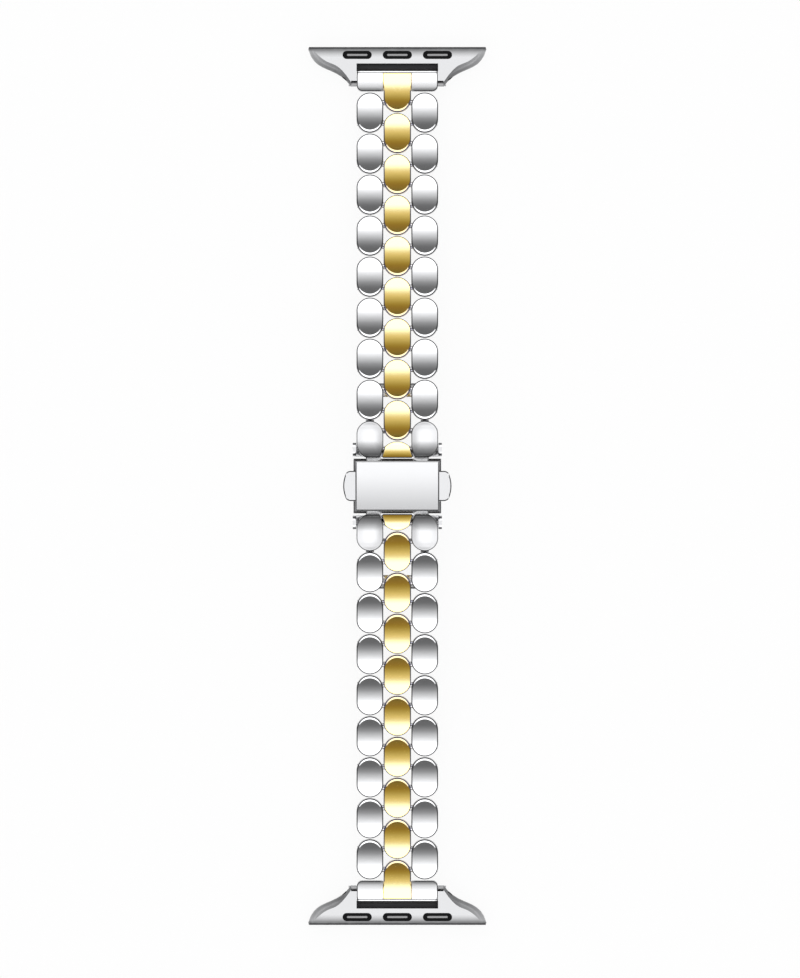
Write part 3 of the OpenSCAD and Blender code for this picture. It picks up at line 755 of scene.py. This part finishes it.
class BRACELET_OT_finishes(Operator):
    """Makes the materials"""

    bl_idname = "bracelet.finishes"
    bl_label = "Finishes"

    def execute(self, context):
        colours = context.scene.bracelet_colours
        painted_shade, black = colours.silver_shade, colours.black
        # The second colour of each metal is its painted shade, laid where the Shade attribute marks edges, flanks
        # and hollows
        metal("Polished Silver", colours.silver, painted_shade, colours.polish)
        metal("Gold Plate", colours.gold, colours.gold_shade, colours.polish * 1.1)
        # Painted shade that darkens the adapters towards their watch side
        edge = context.scene.bracelet_ends.edge_shade_width
        metal("Satin Silver", colours.silver, colours.satin_shade, colours.satin, grain=0.25,
              band=(CAD_BOX[1][1] - edge, edge))
        # Silver darkened as painted shade for the cover's walls, with a weak specular tint so their grazing
        # reflection stays dark
        wall = metal("Wall Silver", colours.wall, painted_shade, 0.35, grain=0.3)
        feed((0.3, 0.3, 0.3, 1), wall, "Specular Tint")
        metal("Wing Steel", colours.silver, painted_shade, colours.satin, grain=0.4)
        metal("Bare Steel", colours.steel, painted_shade, 0.3, grain=0.6)
        metal("Slot Steel", colours.slot_steel, black, 0.3, grain=0.3)
        # Painted shade in the pin holes and deep in the pockets
        metal("Dark Hole", black, black, 0.6)
        metal("Dark Recess", colours.recess, black, 0.45, grain=0.4)
        plastic("Black Plastic", black, 0.5)
        for node, thing in frame["nodes"].items():
            kind = node.rstrip("ab0123456789").rstrip("_")
            give(thing, CAD_FINISH.get(kind, "Polished Silver"))
        return {"FINISHED"}


# The CAD nodes that aren't polished silver
CAD_FINISH = {
    "clasp_base": "Bare Steel", "hinge_pins": "Bare Steel", "button_springs": "Bare Steel",
    "wing": "Bare Steel", "spring_bar": "Slot Steel", "latch_spring": "Bare Steel",
    "slot_rings": "Black Plastic", "wing_tongue": "Gold Plate", "end_tongue": "Gold Plate",
    "centre_link": "Gold Plate", "adapter": "Satin Silver",
}


def give(piece, finish):
    """Puts one material in all of a CAD piece's slots."""
    material = bpy.data.materials[finish]
    if not piece.data.materials:
        piece.data.materials.append(material)
    for slot in piece.material_slots:
        slot.link = "OBJECT"
        slot.material = material


def give_own(piece, *finishes):
    """Puts these materials in a piece's mesh."""
    piece.data.materials.clear()
    for finish in finishes:
        piece.data.materials.append(bpy.data.materials[finish])


VALUE, COLOUR, NORMAL = "NodeSocketFloat", "NodeSocketColor", "NodeSocketVector"


def object_place(tree):
    """The object's own coordinates."""
    return add_node(tree, "ShaderNodeTexCoord").outputs["Object"]


def noise(tree, place, scale, detail, distortion=0.0):
    """The value of a noise texture over a place."""
    return add_node(tree, "ShaderNodeTexNoise", {
        "Vector": place, "Scale": scale, "Detail": detail, "Distortion": distortion}).outputs[0]


def wear_group(name):
    """Shader group: fine swirl marks and smudges that make a polished face look used."""
    tree, start, end = new_tree(
        name, "ShaderNodeTree", [("Roughness", VALUE), ("Spread", VALUE), ("Marks", VALUE)],
        [("Roughness", VALUE), ("Normal", NORMAL)])
    place = object_place(tree)
    spread = Field(start.outputs["Spread"])
    varied = Field(start.outputs["Roughness"]) + (
        Field(noise(tree, place, 450, 3)) - 0.5) * spread
    feed(varied.at_least(0.02), end, "Roughness")
    bump = add_node(tree, "ShaderNodeBump", {
        "Distance": 0.001 * MM, "Strength": start.outputs["Marks"],
        "Height": noise(tree, place, 2600, 2, distortion=1.5)})
    feed(bump.outputs[0], end, "Normal")
    return tree


def grain_group(name):
    """Shader group: fine lines across the band, as a belt grinder leaves them."""
    tree, start, end = new_tree(
        name, "ShaderNodeTree", [("Roughness", VALUE), ("Depth", VALUE), ("Normal", NORMAL)],
        [("Roughness", VALUE), ("Normal", NORMAL)])
    stretch = add_node(tree, "ShaderNodeMapping", {
        "Vector": object_place(tree), "Scale": (150, 9000, 9000)})
    lines = noise(tree, stretch.outputs[0], 1, 4)
    depth = Field(start.outputs["Depth"])
    rough = Field(start.outputs["Roughness"]) + (Field(lines) - 0.5) * depth * 0.4
    feed(rough.at_least(0.02), end, "Roughness")
    bump = add_node(tree, "ShaderNodeBump", {
        "Distance": 0.002 * MM, "Strength": depth, "Height": lines,
        "Normal": start.outputs["Normal"]})
    feed(bump.outputs[0], end, "Normal")
    return tree


def shade_group(name):
    """Shader group: painted shade, a darker, slightly patchy colour on the edges and flanks that the Shade
    attribute marks, which are also made rougher.
    """
    tree, start, end = new_tree(
        name, "ShaderNodeTree", [("Colour", COLOUR), ("Edge Colour", COLOUR), ("Shade", VALUE),
                                 ("Roughness", VALUE)], [("Colour", COLOUR), ("Roughness", VALUE)])
    patches = Field(noise(tree, object_place(tree), 900, 2))
    uneven = Field(start.outputs["Shade"]) * (0.93 + 0.14 * patches)
    mix = add_node(tree, "ShaderNodeMix", {"Factor": uneven.at_most(1.0)}, data_type="RGBA")
    sockets = [socket for socket in mix.inputs if socket.type == "RGBA"]
    for socket, label in zip(sockets, ("Colour", "Edge Colour")):
        tree.links.new(start.outputs[label], socket)
    mixed = [socket for socket in mix.outputs if socket.type == "RGBA"][0]
    feed(mixed, end, "Colour")
    rough = Field(start.outputs["Roughness"]) + uneven * 0.2
    feed(rough.at_most(1.0), end, "Roughness")
    return tree


def band_group(name):
    """Shader group: painted shade that grows from a start to the far ends of the bracelet, over the Shade
    attribute.
    """
    tree, start, end = new_tree(
        name, "ShaderNodeTree", [("Start", VALUE), ("Length", VALUE), ("Shade", VALUE)],
        [("Shade", VALUE)])
    parts = add_node(tree, "ShaderNodeSeparateXYZ", {0: object_place(tree)})
    along = Field(parts.outputs[1]).abs()
    grown = along.step(Field(start.outputs["Start"]), Field(start.outputs["Length"]))
    both = (grown ** 1.3 * 1.15).at_least(Field(start.outputs["Shade"]))
    feed(both, end, "Shade")
    return tree


GROUPS = {"Fine Wear": wear_group, "Brushed Grain": grain_group, "Edge Shade": shade_group,
          "End Band": band_group}


def placed(tree, group, values):
    """A shader group in a material's tree, with its inputs; it is made when it is first used."""
    made = bpy.data.node_groups.get(group) or GROUPS[group](group)
    return add_node(tree, "ShaderNodeGroup", values, node_tree=made)


def new_material(name):
    """The node tree and the shader of a new material."""
    material = bpy.data.materials.new(name)
    material.use_nodes = True
    return material.node_tree, material.node_tree.nodes["Principled BSDF"]


def metal(name, colour, shade_colour, roughness, grain=0.0, band=None):
    """A metal with fine wear, painted shade where the Shade attribute marks it and, where asked for, a brushed
    grain; its shader.

    band is the start and length of a strip of painted shade that grows towards the bracelet's ends.
    """
    tree, shader = new_material(name)
    last = placed(tree, "Fine Wear", {
        "Roughness": roughness, "Spread": roughness * 0.4, "Marks": 0.25})
    if grain:
        last = placed(tree, "Brushed Grain", {
            "Depth": grain, "Roughness": last.outputs["Roughness"],
            "Normal": last.outputs["Normal"]})
    shade = add_node(tree, "ShaderNodeAttribute", attribute_name="Shade").outputs["Fac"]
    if band:
        shade = placed(tree, "End Band", {
            "Start": band[0], "Length": band[1], "Shade": shade}).outputs["Shade"]
    edges = placed(tree, "Edge Shade", {
        "Colour": (*colour, 1), "Edge Colour": (*shade_colour, 1), "Shade": shade,
        "Roughness": last.outputs["Roughness"]})
    feed(1, shader, "Metallic")
    feed(edges.outputs["Colour"], shader, "Base Color")
    feed(edges.outputs["Roughness"], shader, "Roughness")
    feed(last.outputs["Normal"], shader, "Normal")
    return shader


def plastic(name, colour, roughness):
    """A dull plastic with a low shine."""
    tree, shader = new_material(name)
    feed((*colour, 1), shader, "Base Color")
    feed(0.05, shader, "Specular IOR Level")
    wear = placed(tree, "Fine Wear", {"Roughness": roughness, "Spread": 0.15, "Marks": 0.4})
    for label in ("Roughness", "Normal"):
        feed(wear.outputs[label], shader, label)


class BRACELET_OT_links(Operator):
    """Makes the silver and gold pill links of both halves"""

    bl_idname = "bracelet.links"
    bl_label = "Links"

    def execute(self, context):
        size = context.scene.bracelet_links
        tree = link_tree()
        common = {
            "Length": size.length, "Crown": size.crown, "Crown Drop": size.crown_drop,
            "Under": size.under, "Relief Length": size.relief_length,
            "Relief Height": size.relief_height, "Bevel Length": size.bevel_length,
            "Bevel Drop": size.bevel_drop, "Edge": size.edge, "Square End": 0.0,
            "Pin Finish": bpy.data.materials["Bare Steel"],
        }
        silver = {
            **common, "Width": size.outer_width, "Columns": 2,
            "Offset": (BAND_WIDTH - size.outer_width) / 2, "Pin Radius": size.pin / 2,
            "Pin Length": BAND_WIDTH - 2 * size.pin_sunk,
            "Finish": bpy.data.materials["Polished Silver"]}
        # The pins inside a gold link are thinner than those of the rows that they run into
        gold = {
            **common, "Width": CENTRE_WIDTH, "Columns": 1, "Offset": 0.0,
            "Pin Radius": size.pin * 0.3, "Pin Length": CENTRE_WIDTH * 0.8,
            "Finish": bpy.data.materials["Gold Plate"]}
        for half in HALVES:
            pitch = (joint_place("link_%s2" % half) - joint_place("link_%s1" % half)).length
            for k in range(2, ROWS + 1):
                piece = grow("silver_links_%s%d" % (half, k), tree,
                             {**silver, "Pin Distance": pitch})
                moved(piece, on_band(half, pitch / 2, "link_%s%d" % (half, 2 * k - 2)))
                dress(piece, "outer_row_%s%d" % (half, k), "row_%s%d" % (half, k))
            for k in range(1, ROWS):
                piece = grow("gold_link_%s%d" % (half, k), tree, {**gold, "Pin Distance": pitch})
                moved(piece, on_band(half, pitch / 2, "link_%s%d" % (half, 2 * k - 1)))
                dress(piece, "centre_link_%s%d" % (half, k), "centre_%s%d" % (half, k))

            # The tongue of the end bar is a longer gold link with a square end, where its painted shade is weaker
            near, far, weaker_shade_from = -4.225 * MM, 1.44 * MM, 0.3 * MM
            piece = grow("gold_end_" + half, tree, {
                **gold, "Length": far - near, "Square End": 1.0, "Pin Distance": pitch,
                "Under": 1.2 * MM})
            ease_shade(piece, lambda place: place.y > weaker_shade_from, 0.3)
            moved(piece, on_band(half, (near + far) / 2, "adapter_%s_tilt" % half))
            dress(piece, "end_tongue_" + half, "end_" + half)
        return {"FINISHED"}


# Outline of the right first link: x, y and radius of each corner, in mm from the wing's pin
FIRST_CORNERS = ((2.55, -1.25, 0.35), (5.95, -1.25, 1.9), (5.95, 4.125, 1.95),
                 (2.05, 4.125, 1.95), (2.05, 0.25, 0.8))
FIRST_MIDDLE = (4.0, 1.75)

# Distance between the two pins of the first row, and length of the wing's pin
FIRST_PINS, WING_PIN = 2.7 * MM, 12.8 * MM


class BRACELET_OT_clasp(Operator):
    """Makes the first links, the clasp's tongues, its cover and its push buttons"""

    bl_idname = "bracelet.clasp"
    bl_label = "Clasp"

    def execute(self, context):
        size = context.scene.bracelet_clasp
        links = context.scene.bracelet_links
        for half in HALVES:
            self.first_links(half, size, links)
            self.tongue(half, size, links)
            self.wing(half, size)
        self.cover(size)
        for hand in ("left", "right"):
            self.button("button_" + hand, size)
        return {"FINISHED"}

    def wing(self, half, size):
        """The folding wing, with painted shade on its edges and in the deep middle of its frame."""
        recess_x, recess_y = 2.5, 4.4
        wing = polished("wing_plate_" + half, "wing_" + half, size.wing_edge)
        # Painted shade on the edges, and in the deep middle of the frame
        shade_sides(wing, UP, edge=0.9, side=0.5, flat=0.75)
        give_own(wing, "Wing Steel", "Dark Recess")
        for face in wing.data.polygons:
            x, y, _ = face.center / MM
            if abs(x) < recess_x and abs(y) < recess_y:
                face.material_index = 1
        dress(wing, "wing_" + half, "wing_" + half)

    def cover(self, size):
        """The cover, whose walls get painted shade that grows from its top to its foot and is darkest at the far
        side.
        """
        top, strips, wall_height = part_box("clasp_cover")[1][2], 0.8 * MM, 3.5 * MM
        far_wall, near_wall, far_edge = 0.85, 0.1, 0.15
        cover = polished("cover_shell", "clasp_cover", size.cover_edge,
                         carve=lambda shape: crowned(shape, top, size.cover_crown, strips))
        # Painted shade on the cover's edges and walls
        shade_sides(cover, UP, side=0.72)
        give_own(cover, "Polished Silver", "Wall Silver")
        mesh = cover.data
        marks = mesh.attributes["Shade"].data
        # The walls' painted shade grows towards the foot and is strongest at the far side; the far top edge keeps
        # little
        for face in mesh.polygons:
            if abs(face.normal.z) < 0.3:
                face.material_index = 1
                start = far_wall if face.normal.y > 0.5 else near_wall
                for corner in face.loop_indices:
                    place = mesh.vertices[mesh.loops[corner].vertex_index].co
                    down = clamped((top - place.z) / wall_height)
                    marks[corner].value = start + (1.0 - start) * down
            elif face.normal.z < 0.985 and face.normal.y > 0.1:
                for corner in face.loop_indices:
                    marks[corner].value = far_edge
        dress(cover, "clasp_cover", "base")

    def button(self, node, size):
        """A push button with rounded outer corners."""
        outside, aside = 7 * MM, 2 * MM
        button = polished(
            "push_" + node, node, size.cover_edge, clamp=False,
            corners=(size.button_corner,
                     lambda place: abs(place.x) > outside and abs(place.y) > aside))
        flat_faces(button, UP)
        # Painted shade on the button's edges and sides
        shade_sides(button, UP)
        give_own(button, "Polished Silver")
        dress(button, node, body_of(node))

    def first_links(self, half, size, links):
        """The two silver links beside the clasp's tongue, and their pins."""
        near, far = FIRST_CORNERS[0][1] * MM, FIRST_CORNERS[2][1] * MM
        crest, arch, crest_at, under = size.first_crest, size.first_arch, 0.55 * MM, links.under
        lead, inner, inner_bend = 0.45 * MM, 3.4 * MM, 0.173 / MM

        def top(x, y):
            z = crest - arch + arc_height(arch, y - crest_at)
            inside = max(0.0, inner - abs(x))
            front = min(lead, max(0.0, near + lead - y))
            return z - 0.5 * inner_bend * inside ** 2 - lead + arc_height(lead, front)

        def low(x, y):
            if y < 0:
                return -arc_height(under, y)
            return -under + links.relief_height * clamped(
                (y - far + links.relief_length) / links.relief_length)

        pieces = []
        for side in (1, -1):
            centre = Vector((side * FIRST_MIDDLE[0], FIRST_MIDDLE[1])) * MM
            # Painted shade grows towards each first link's rim
            rim = self.soft_rim(centre, Vector((-side, -0.35)).normalized(), size.first_shade_start)
            pieces.append(slab("pill", rounded(in_mm(FIRST_CORNERS, side)), centre, top, low,
                               links.edge, "Polished Silver", rings=18, rim=rim))
        pieces.append(rod("pin", links.pin / 2, WING_PIN, "Bare Steel"))
        pin = rod("pin", links.pin / 2, BAND_WIDTH - 2 * links.pin_sunk, "Bare Steel")
        pieces.append(moved(pin, Matrix.Translation((0, FIRST_PINS, 0))))
        piece = moved(joined("first_links_" + half, pieces), on_band(half, 0, "link_%s0" % half))
        dress(piece, "outer_row_%s1" % half, "row_%s1" % half)

    def soft_rim(self, centre, dark_side, start):
        """Painted shade of a first link's top, which grows softly to its rim and most to its dark side."""
        darkest, one_sided, full_at = 0.37, 0.35, 0.95

        def rim(place, part):
            facing = (place - centre).normalized().dot(dark_side)
            grown = clamped((part - start) / (full_at - start))
            level = darkest * (1 - one_sided + one_sided * facing)
            return level * grown * grown * (3 - 2 * grown)

        return rim

    def tongue(self, half, size, links):
        """The gold tongue on the wing, which fills the gap between the first links."""
        crest, arch, crest_at, eye = size.tongue_crest, size.tongue_arch, -0.65 * MM, 1.15 * MM
        nose, nose_at, wide, near, corner, steps = 2.5, -1.35, 2.33, -1.25, 0.25, 24
        outline = [(-wide, near, corner), (wide, near, corner)]
        side_x, side_y = 1.778, 0.405
        flat_until, flat_low = -0.85 * MM, -1.39 * MM
        join = math.atan2(side_y - nose_at, side_x)
        for k in range(steps + 1):
            a = join + (math.pi - 2 * join) * k / steps
            outline.append((nose * math.cos(a), nose_at + nose * math.sin(a), 0))

        def top(x, y):
            return crest - arch + arc_height(arch, y - crest_at)

        def low(x, y):
            return flat_low if y < flat_until else -arc_height(eye, y)

        piece = slab("clasp_tongue_" + half, rounded(in_mm(outline)), (0, -0.5 * MM), top, low,
                     links.edge, "Gold Plate")
        turn = Matrix() if half == "a" else Matrix.Rotation(math.pi, 4, "Z")
        moved(piece, Matrix.Translation(joint_place("link_%s0" % half)) @ turn)
        dress(piece, "wing_tongue_" + half, "wing_" + half)


def body_of(node):
    """The body on which a CAD node rides."""
    for body, nodes in frame["record"]["behaviour"]["bodies"].items():
        if node in nodes:
            return body
    raise ValueError("no body holds " + node)


class BRACELET_OT_ends(Operator):
    """Makes the end bars and dresses the adapters with their slot bars and latches"""

    bl_idname = "bracelet.ends"
    bl_label = "Ends"

    def execute(self, context):
        size = context.scene.bracelet_ends
        for half in HALVES:
            place = on_band(half, 0, "adapter_%s_tilt" % half)
            up = place.to_3x3() @ UP
            self.end_bar(half, place, size, context.scene.bracelet_links.edge)
            self.adapter(half, place.inverted(), up)
            for node, name in (("side_bars_", "slot_bars_"), ("latch_", "latch_bar_")):
                bars = polished(name + half, node + half, size.bar_edge, clamp=False)
                flat_faces(bars, up)
                # Painted shade on the bars' edges
                shade_sides(bars, up, edge=0.5)
                give_own(bars, "Slot Steel")
                dress(bars, node + half, body_of(node + half))
        return {"FINISHED"}

    def end_bar(self, half, place, size, edge):
        """Two blocks joined by a lip, which close the band at the adapter."""
        wide, near, out, lip, line = 5.9, -1.2, 1.82, 1.47, 1.39
        inner, web_near, web_far = 2.03, 0.9, 1.6
        crest, crest_at, under = size.bar_crest, -0.55 * MM, 1.2 * MM
        chamfer_at, chamfer, chamfer_height = 1.22 * MM, 0.6 * MM, 0.7 * MM

        def top(x, y):
            arch = size.bar_arch if y > crest_at else size.bar_fall
            return crest - arch + arc_height(arch, y - crest_at)

        def low(x, y):
            if y < 0:
                return -arc_height(under, y)
            return -under + chamfer_height * max(0.0, (y - chamfer_at) / chamfer)

        def block(corners, side=1, deeper=0.0):
            points = in_mm(corners, side)
            middle = [sum(point[axis] for point in points) / len(points) for axis in (0, 1)]
            return slab("block", rounded(points), middle,
                        lambda x, y: top(x, y) - deeper, low, edge, "Polished Silver")

        def rectangle(left, front, right, back, radius):
            return [(left, front, radius), (right, front, radius), (right, back, radius),
                    (left, back, radius)]

        ear = [(inner, near, 0.2), (wide, near, 0.8), (wide, line, 0.2), (inner, line, 0.2)]
        web = rectangle(inner, web_near, wide - 0.02, web_far, 0.2)
        pieces = [block(rectangle(-wide, lip, wide, out, 0.17))]
        for side in (1, -1):
            for corners, deeper in ((ear, 0.0), (web, 0.1 * MM)):
                pieces.append(block(corners, side, deeper))
        piece = joined("end_block_" + half, pieces)
        # Less painted shade on the lip and beside the tongue
        ease_shade(piece, lambda spot: spot.y > 1.15 * MM
                   and abs(spot.x) < (wide - 0.2) * MM or abs(spot.x) < 2.3 * MM, 0.25)
        moved(piece, place)
        dress(piece, "end_bar_" + half, "end_" + half)

    def adapter(self, half, back, up):
        """The adapter's own shape, smooth over its rounded edges, with painted shade on its edges and flanks, in
        its pocket and round its pin's hole.

        back is the matrix that brings the adapter to its spring bar's own place.
        """
        node = "adapter_" + half
        piece = copied("adapter_body_" + half, node)
        settle(piece)
        mesh = piece.data
        mesh.shade_smooth()
        mesh.set_sharp_from_angle(angle=math.radians(35))
        flat_faces(piece, up)
        # Painted shade on the tilted edges and upright flanks, stronger towards the ear
        shade_sides(piece, up, side=1.0)
        for loop, mark in zip(mesh.loops, mesh.attributes["Shade"].data):
            along = (back @ mesh.vertices[loop.vertex_index].co).y / MM
            mark.value *= 0.48 + 0.36 * clamped((5.0 - along) / 3.5)
        give_own(piece, "Satin Silver", "Dark Recess", "Dark Hole")
        wall, pocket_y, pocket_z = 5.97, 2.87, 1.18
        pin_y, pin_z, pin_radius, off_round = 0.62, 0.35, 0.35, 0.03
        # Painted shade deep in the pocket and round the pin's hole
        for face in mesh.polygons:
            x, y, z = back @ face.center / MM
            pocket = abs(x) < wall and y < pocket_y and z < pocket_z
            hole = wall < abs(x) and 0.2 < y < 1.1 and abs(z) < 0.75 and abs(
                math.hypot(y - pin_y, z - pin_z) - pin_radius) < off_round
            face.material_index = 1 if pocket else 2 if hole else 0
        dress(piece, node, body_of(node))


def lamp(name, half, stops, seen, width):
    """An area lamp over one half of the bracelet, graded by the angle from straight above.

    stops are pairs of an angle in degrees, away from the clasp, and a brightness or colour; only
    the pieces in the collection seen are lit.
    """
    height = bpy.context.scene.bracelet_studio.lamp_height
    side = -1 if half == "b" else 1
    slopes = [math.tan(math.radians(angle)) for angle, _ in stops]
    low, high = slopes[0], slopes[-1]
    start, end = (Vector((0, side * slope, 1)) * height for slope in (low, high))
    light = bpy.data.lights.new(name, "AREA")
    light.shape = "RECTANGLE"
    light.size = width
    light.size_y = (end - start).length
    levels = [level if isinstance(level, tuple) else (level,) * 3 for _, level in stops]
    peak = max(max(level) for level in levels)
    light.energy = peak * math.pi * light.size * light.size_y
    forward = (end - start).normalized()
    away = Vector((1, 0, 0)).cross(forward) * side
    holder = add_piece(name, light)
    holder.matrix_world = Matrix.Translation((start + end) / 2) @ Matrix(
        (forward.cross(away), forward, away)).transposed().to_4x4()
    holder.visible_camera = False
    holder.light_linking.receiver_collection = seen

    light.use_nodes = True
    tree = light.node_tree
    place = add_node(tree, "ShaderNodeNewGeometry").outputs["Parametric"]
    parts = add_node(tree, "ShaderNodeSeparateXYZ", {0: place})
    ramp = add_node(tree, "ShaderNodeValToRGB", {0: parts.outputs[1]})
    feed(ramp.outputs[0], tree.nodes["Emission"], "Color")
    points = ramp.color_ramp.elements
    for slope in slopes[1:-1]:
        points.new((slope - low) / (high - low))
    for point, level in zip(points, levels):
        point.color = (*(part / peak for part in level), 1)


def collect(name, test):
    """A collection of the pieces whose names pass a test."""
    made = bpy.data.collections.new(name)
    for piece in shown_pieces():
        if test(piece.name):
            made.objects.link(piece)
    return made


def half_of(name):
    """The half of the bracelet that a piece belongs to, or None."""
    last = name.rstrip("0123456789").rsplit("_", 1)[-1]
    return last if last in HALVES else None


# Starts of the names of the pieces that share a lamp
SILVER = ("silver_links", "end_block")
GOLD = ("gold_", "clasp_tongue")
FIRST = ("first_links",)
CLASP = ("cover", "push_button")

# Angle from straight above, in degrees, and brightness or colour there
DUSK = [(-25, 0), (-16, 0.02), (-12, 0.06), (-4, 0.20), (0, 0.33), (4, 0.48), (9, 0.65)]
SILVER_BACK, GOLD_BACK, GOLD_BRIGHT = 1.2, (1.05, 1.35, 4.6), (4.0, 4.2, 6.2)
GOLD_DUSK = [
    (-24, (0.055, 0.045, 0.0)), (-15, (0.104, 0.062, 0.0)), (-11, (0.13, 0.095, 0.0)),
    (-7, (0.185, 0.16, 0.06)), (-3, (0.25, 0.245, 0.2)), (1, (0.335, 0.35, 0.40)),
    (5, (0.43, 0.46, 0.6)), (9.5, (0.54, 0.585, 0.88)), (14, (0.657, 0.728, 1.3)),
    (18, (0.763, 0.957, 2.2)), (22, (0.9, 1.3, 3.7)), (26, (1.5, 1.9, 5.2)), (30, GOLD_BRIGHT)]


def half_lamps(box):
    """Name, stops and lit pieces of each lamp that both halves of the bracelet have."""
    return (
        ("silver_", DUSK + [(13, 0.82), (17, 1.0), (21, 1.25), (25, box)], SILVER),
        ("silver_box_", [(25, box), (75, box)], SILVER),
        ("silver_back_", [(-75, SILVER_BACK), (-33, SILVER_BACK)], SILVER[:1]),
        ("first_", DUSK + [(13, 0.88), (17, 1.15), (46, 1.15), (57, 0.1)], FIRST),
        ("gold_", GOLD_DUSK, GOLD),
        ("gold_box_", [(30, GOLD_BRIGHT), (75, GOLD_BRIGHT)], GOLD),
        ("gold_back_", [(-75, GOLD_BACK), (-33, GOLD_BACK)], GOLD[:1]))


class BRACELET_OT_studio(Operator):
    """Makes the floor, the room, the lamps and the camera"""

    bl_idname = "bracelet.studio"
    bl_label = "Studio"

    def execute(self, context):
        settings = context.scene.bracelet_studio
        self.room(settings)
        self.floor()
        wide = 3 * settings.lamp_width
        for half in HALVES:
            for name, stops, starts in half_lamps(settings.box):
                seen = collect(name + half, lambda piece: (
                    piece.startswith(starts) and half_of(piece) == half))
                lamp(name + half, half, stops, seen, wide)
        clasp = collect("clasp", lambda piece: piece.startswith(CLASP))
        lamp("clasp", "a", [(-8, 0.3), (-6, 0.42), (2, 1.1), (30, 1.1)], clasp,
             settings.lamp_width)
        rest = collect("rest", lambda piece: not piece.startswith(SILVER + GOLD + FIRST + CLASP))
        lamp("faces", "a", [(-70, 0.87), (70, 0.87)], rest, wide)
        self.camera(settings)
        context.scene.view_settings.view_transform = "Standard"
        return {"FINISHED"}

    def room(self, settings):
        """White walls and a darker ceiling, which only the metal shows."""
        world = bpy.data.worlds.new("Room")
        bpy.context.scene.world = world
        world.use_nodes = True
        tree = world.node_tree
        place = add_node(tree, "ShaderNodeTexCoord").outputs["Generated"]
        parts = add_node(tree, "ShaderNodeSeparateXYZ", {0: place})
        ceiling_start, ceiling_blend = 0.58, 0.09
        ceiling = Field(parts.outputs[2]).step(ceiling_start, ceiling_blend)
        glossy = Field(add_node(tree, "ShaderNodeLightPath").outputs["Is Glossy Ray"])
        strength = 1.0 - glossy * ceiling * (1.0 - settings.dusk)
        feed(strength, tree.nodes["Background"], "Strength")
        feed((1, 1, 1, 1), tree.nodes["Background"], "Color")

    def floor(self):
        """A clear sheet that keeps a faint shadow and shows what hangs below it."""
        mesh = bpy.data.meshes.new("floor")
        reach, clearness = 1.5, 0.92
        mesh.from_pydata([(-reach, -reach, 0), (reach, -reach, 0), (reach, reach, 0),
                          (-reach, reach, 0)], [], [(0, 1, 2, 3)])
        tree, shader = new_material("White Sheet")
        feed((0.9, 0.9, 0.9, 1), shader, "Base Color")
        feed(0.9, shader, "Roughness")
        clear = add_node(tree, "ShaderNodeBsdfTransparent")
        side = add_node(tree, "ShaderNodeNewGeometry").outputs["Backfacing"]
        ray = add_node(tree, "ShaderNodeLightPath")
        direct, glossy, through = (Field(ray.outputs["Is %s Ray" % kind])
                                   for kind in ("Camera", "Glossy", "Transmission"))
        seen = (direct + glossy + through).at_most(1.0) * clearness
        mix = add_node(tree, "ShaderNodeMixShader", {
            0: seen.at_least(Field(side)), 1: shader.outputs[0], 2: clear.outputs[0]})
        feed(mix.outputs[0], tree.nodes["Material Output"])
        mesh.materials.append(bpy.data.materials["White Sheet"])
        add_piece("floor", mesh)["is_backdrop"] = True

    def camera(self, settings):
        """Straight down on the clasp."""
        view = bpy.data.cameras.new("camera")
        view.type = "PERSP"
        view.sensor_width = 36
        view.lens = view.sensor_width * settings.camera_height / settings.view_height
        view.clip_start = 0.01
        holder = add_piece("camera", view)
        holder.location = (settings.centre_x, settings.centre_y, settings.camera_height)
        bpy.context.scene.camera = holder


class BRACELET_PT_panel(Panel):
    """Lists the steps that build the bracelet's looks"""

    bl_idname = "BRACELET_PT_panel"
    bl_label = "Watch Bracelet"
    bl_space_type = "VIEW_3D"
    bl_region_type = "UI"
    bl_category = "Bracelet"

    def draw(self, context):
        for step in STEPS:
            self.layout.operator(step.bl_idname)
        for group in SETTINGS:
            values = getattr(context.scene, group)
            for name in values.__annotations__:
                self.layout.prop(values, name)


STEPS = (BRACELET_OT_finishes, BRACELET_OT_links, BRACELET_OT_clasp, BRACELET_OT_ends,
         BRACELET_OT_studio)
SETTINGS = {"bracelet_links": LinkSizes, "bracelet_clasp": ClaspSizes,
            "bracelet_ends": EndSizes, "bracelet_colours": FinishColours,
            "bracelet_studio": StudioSettings}


def register():
    for group, kind in SETTINGS.items():
        bpy.utils.register_class(kind)
        setattr(bpy.types.Scene, group, PointerProperty(type=kind))
    for kind in STEPS + (BRACELET_PT_panel,):
        bpy.utils.register_class(kind)


def unregister():
    for kind in reversed(STEPS + (BRACELET_PT_panel,)):
        bpy.utils.unregister_class(kind)
    for group, kind in SETTINGS.items():
        delattr(bpy.types.Scene, group)
        bpy.utils.unregister_class(kind)


def main():
    register()
    bpy.ops.bracelet.finishes()
    bpy.ops.bracelet.links()
    bpy.ops.bracelet.clasp()
    bpy.ops.bracelet.ends()
    bpy.ops.bracelet.studio()


if __name__ == "__main__":
    main()
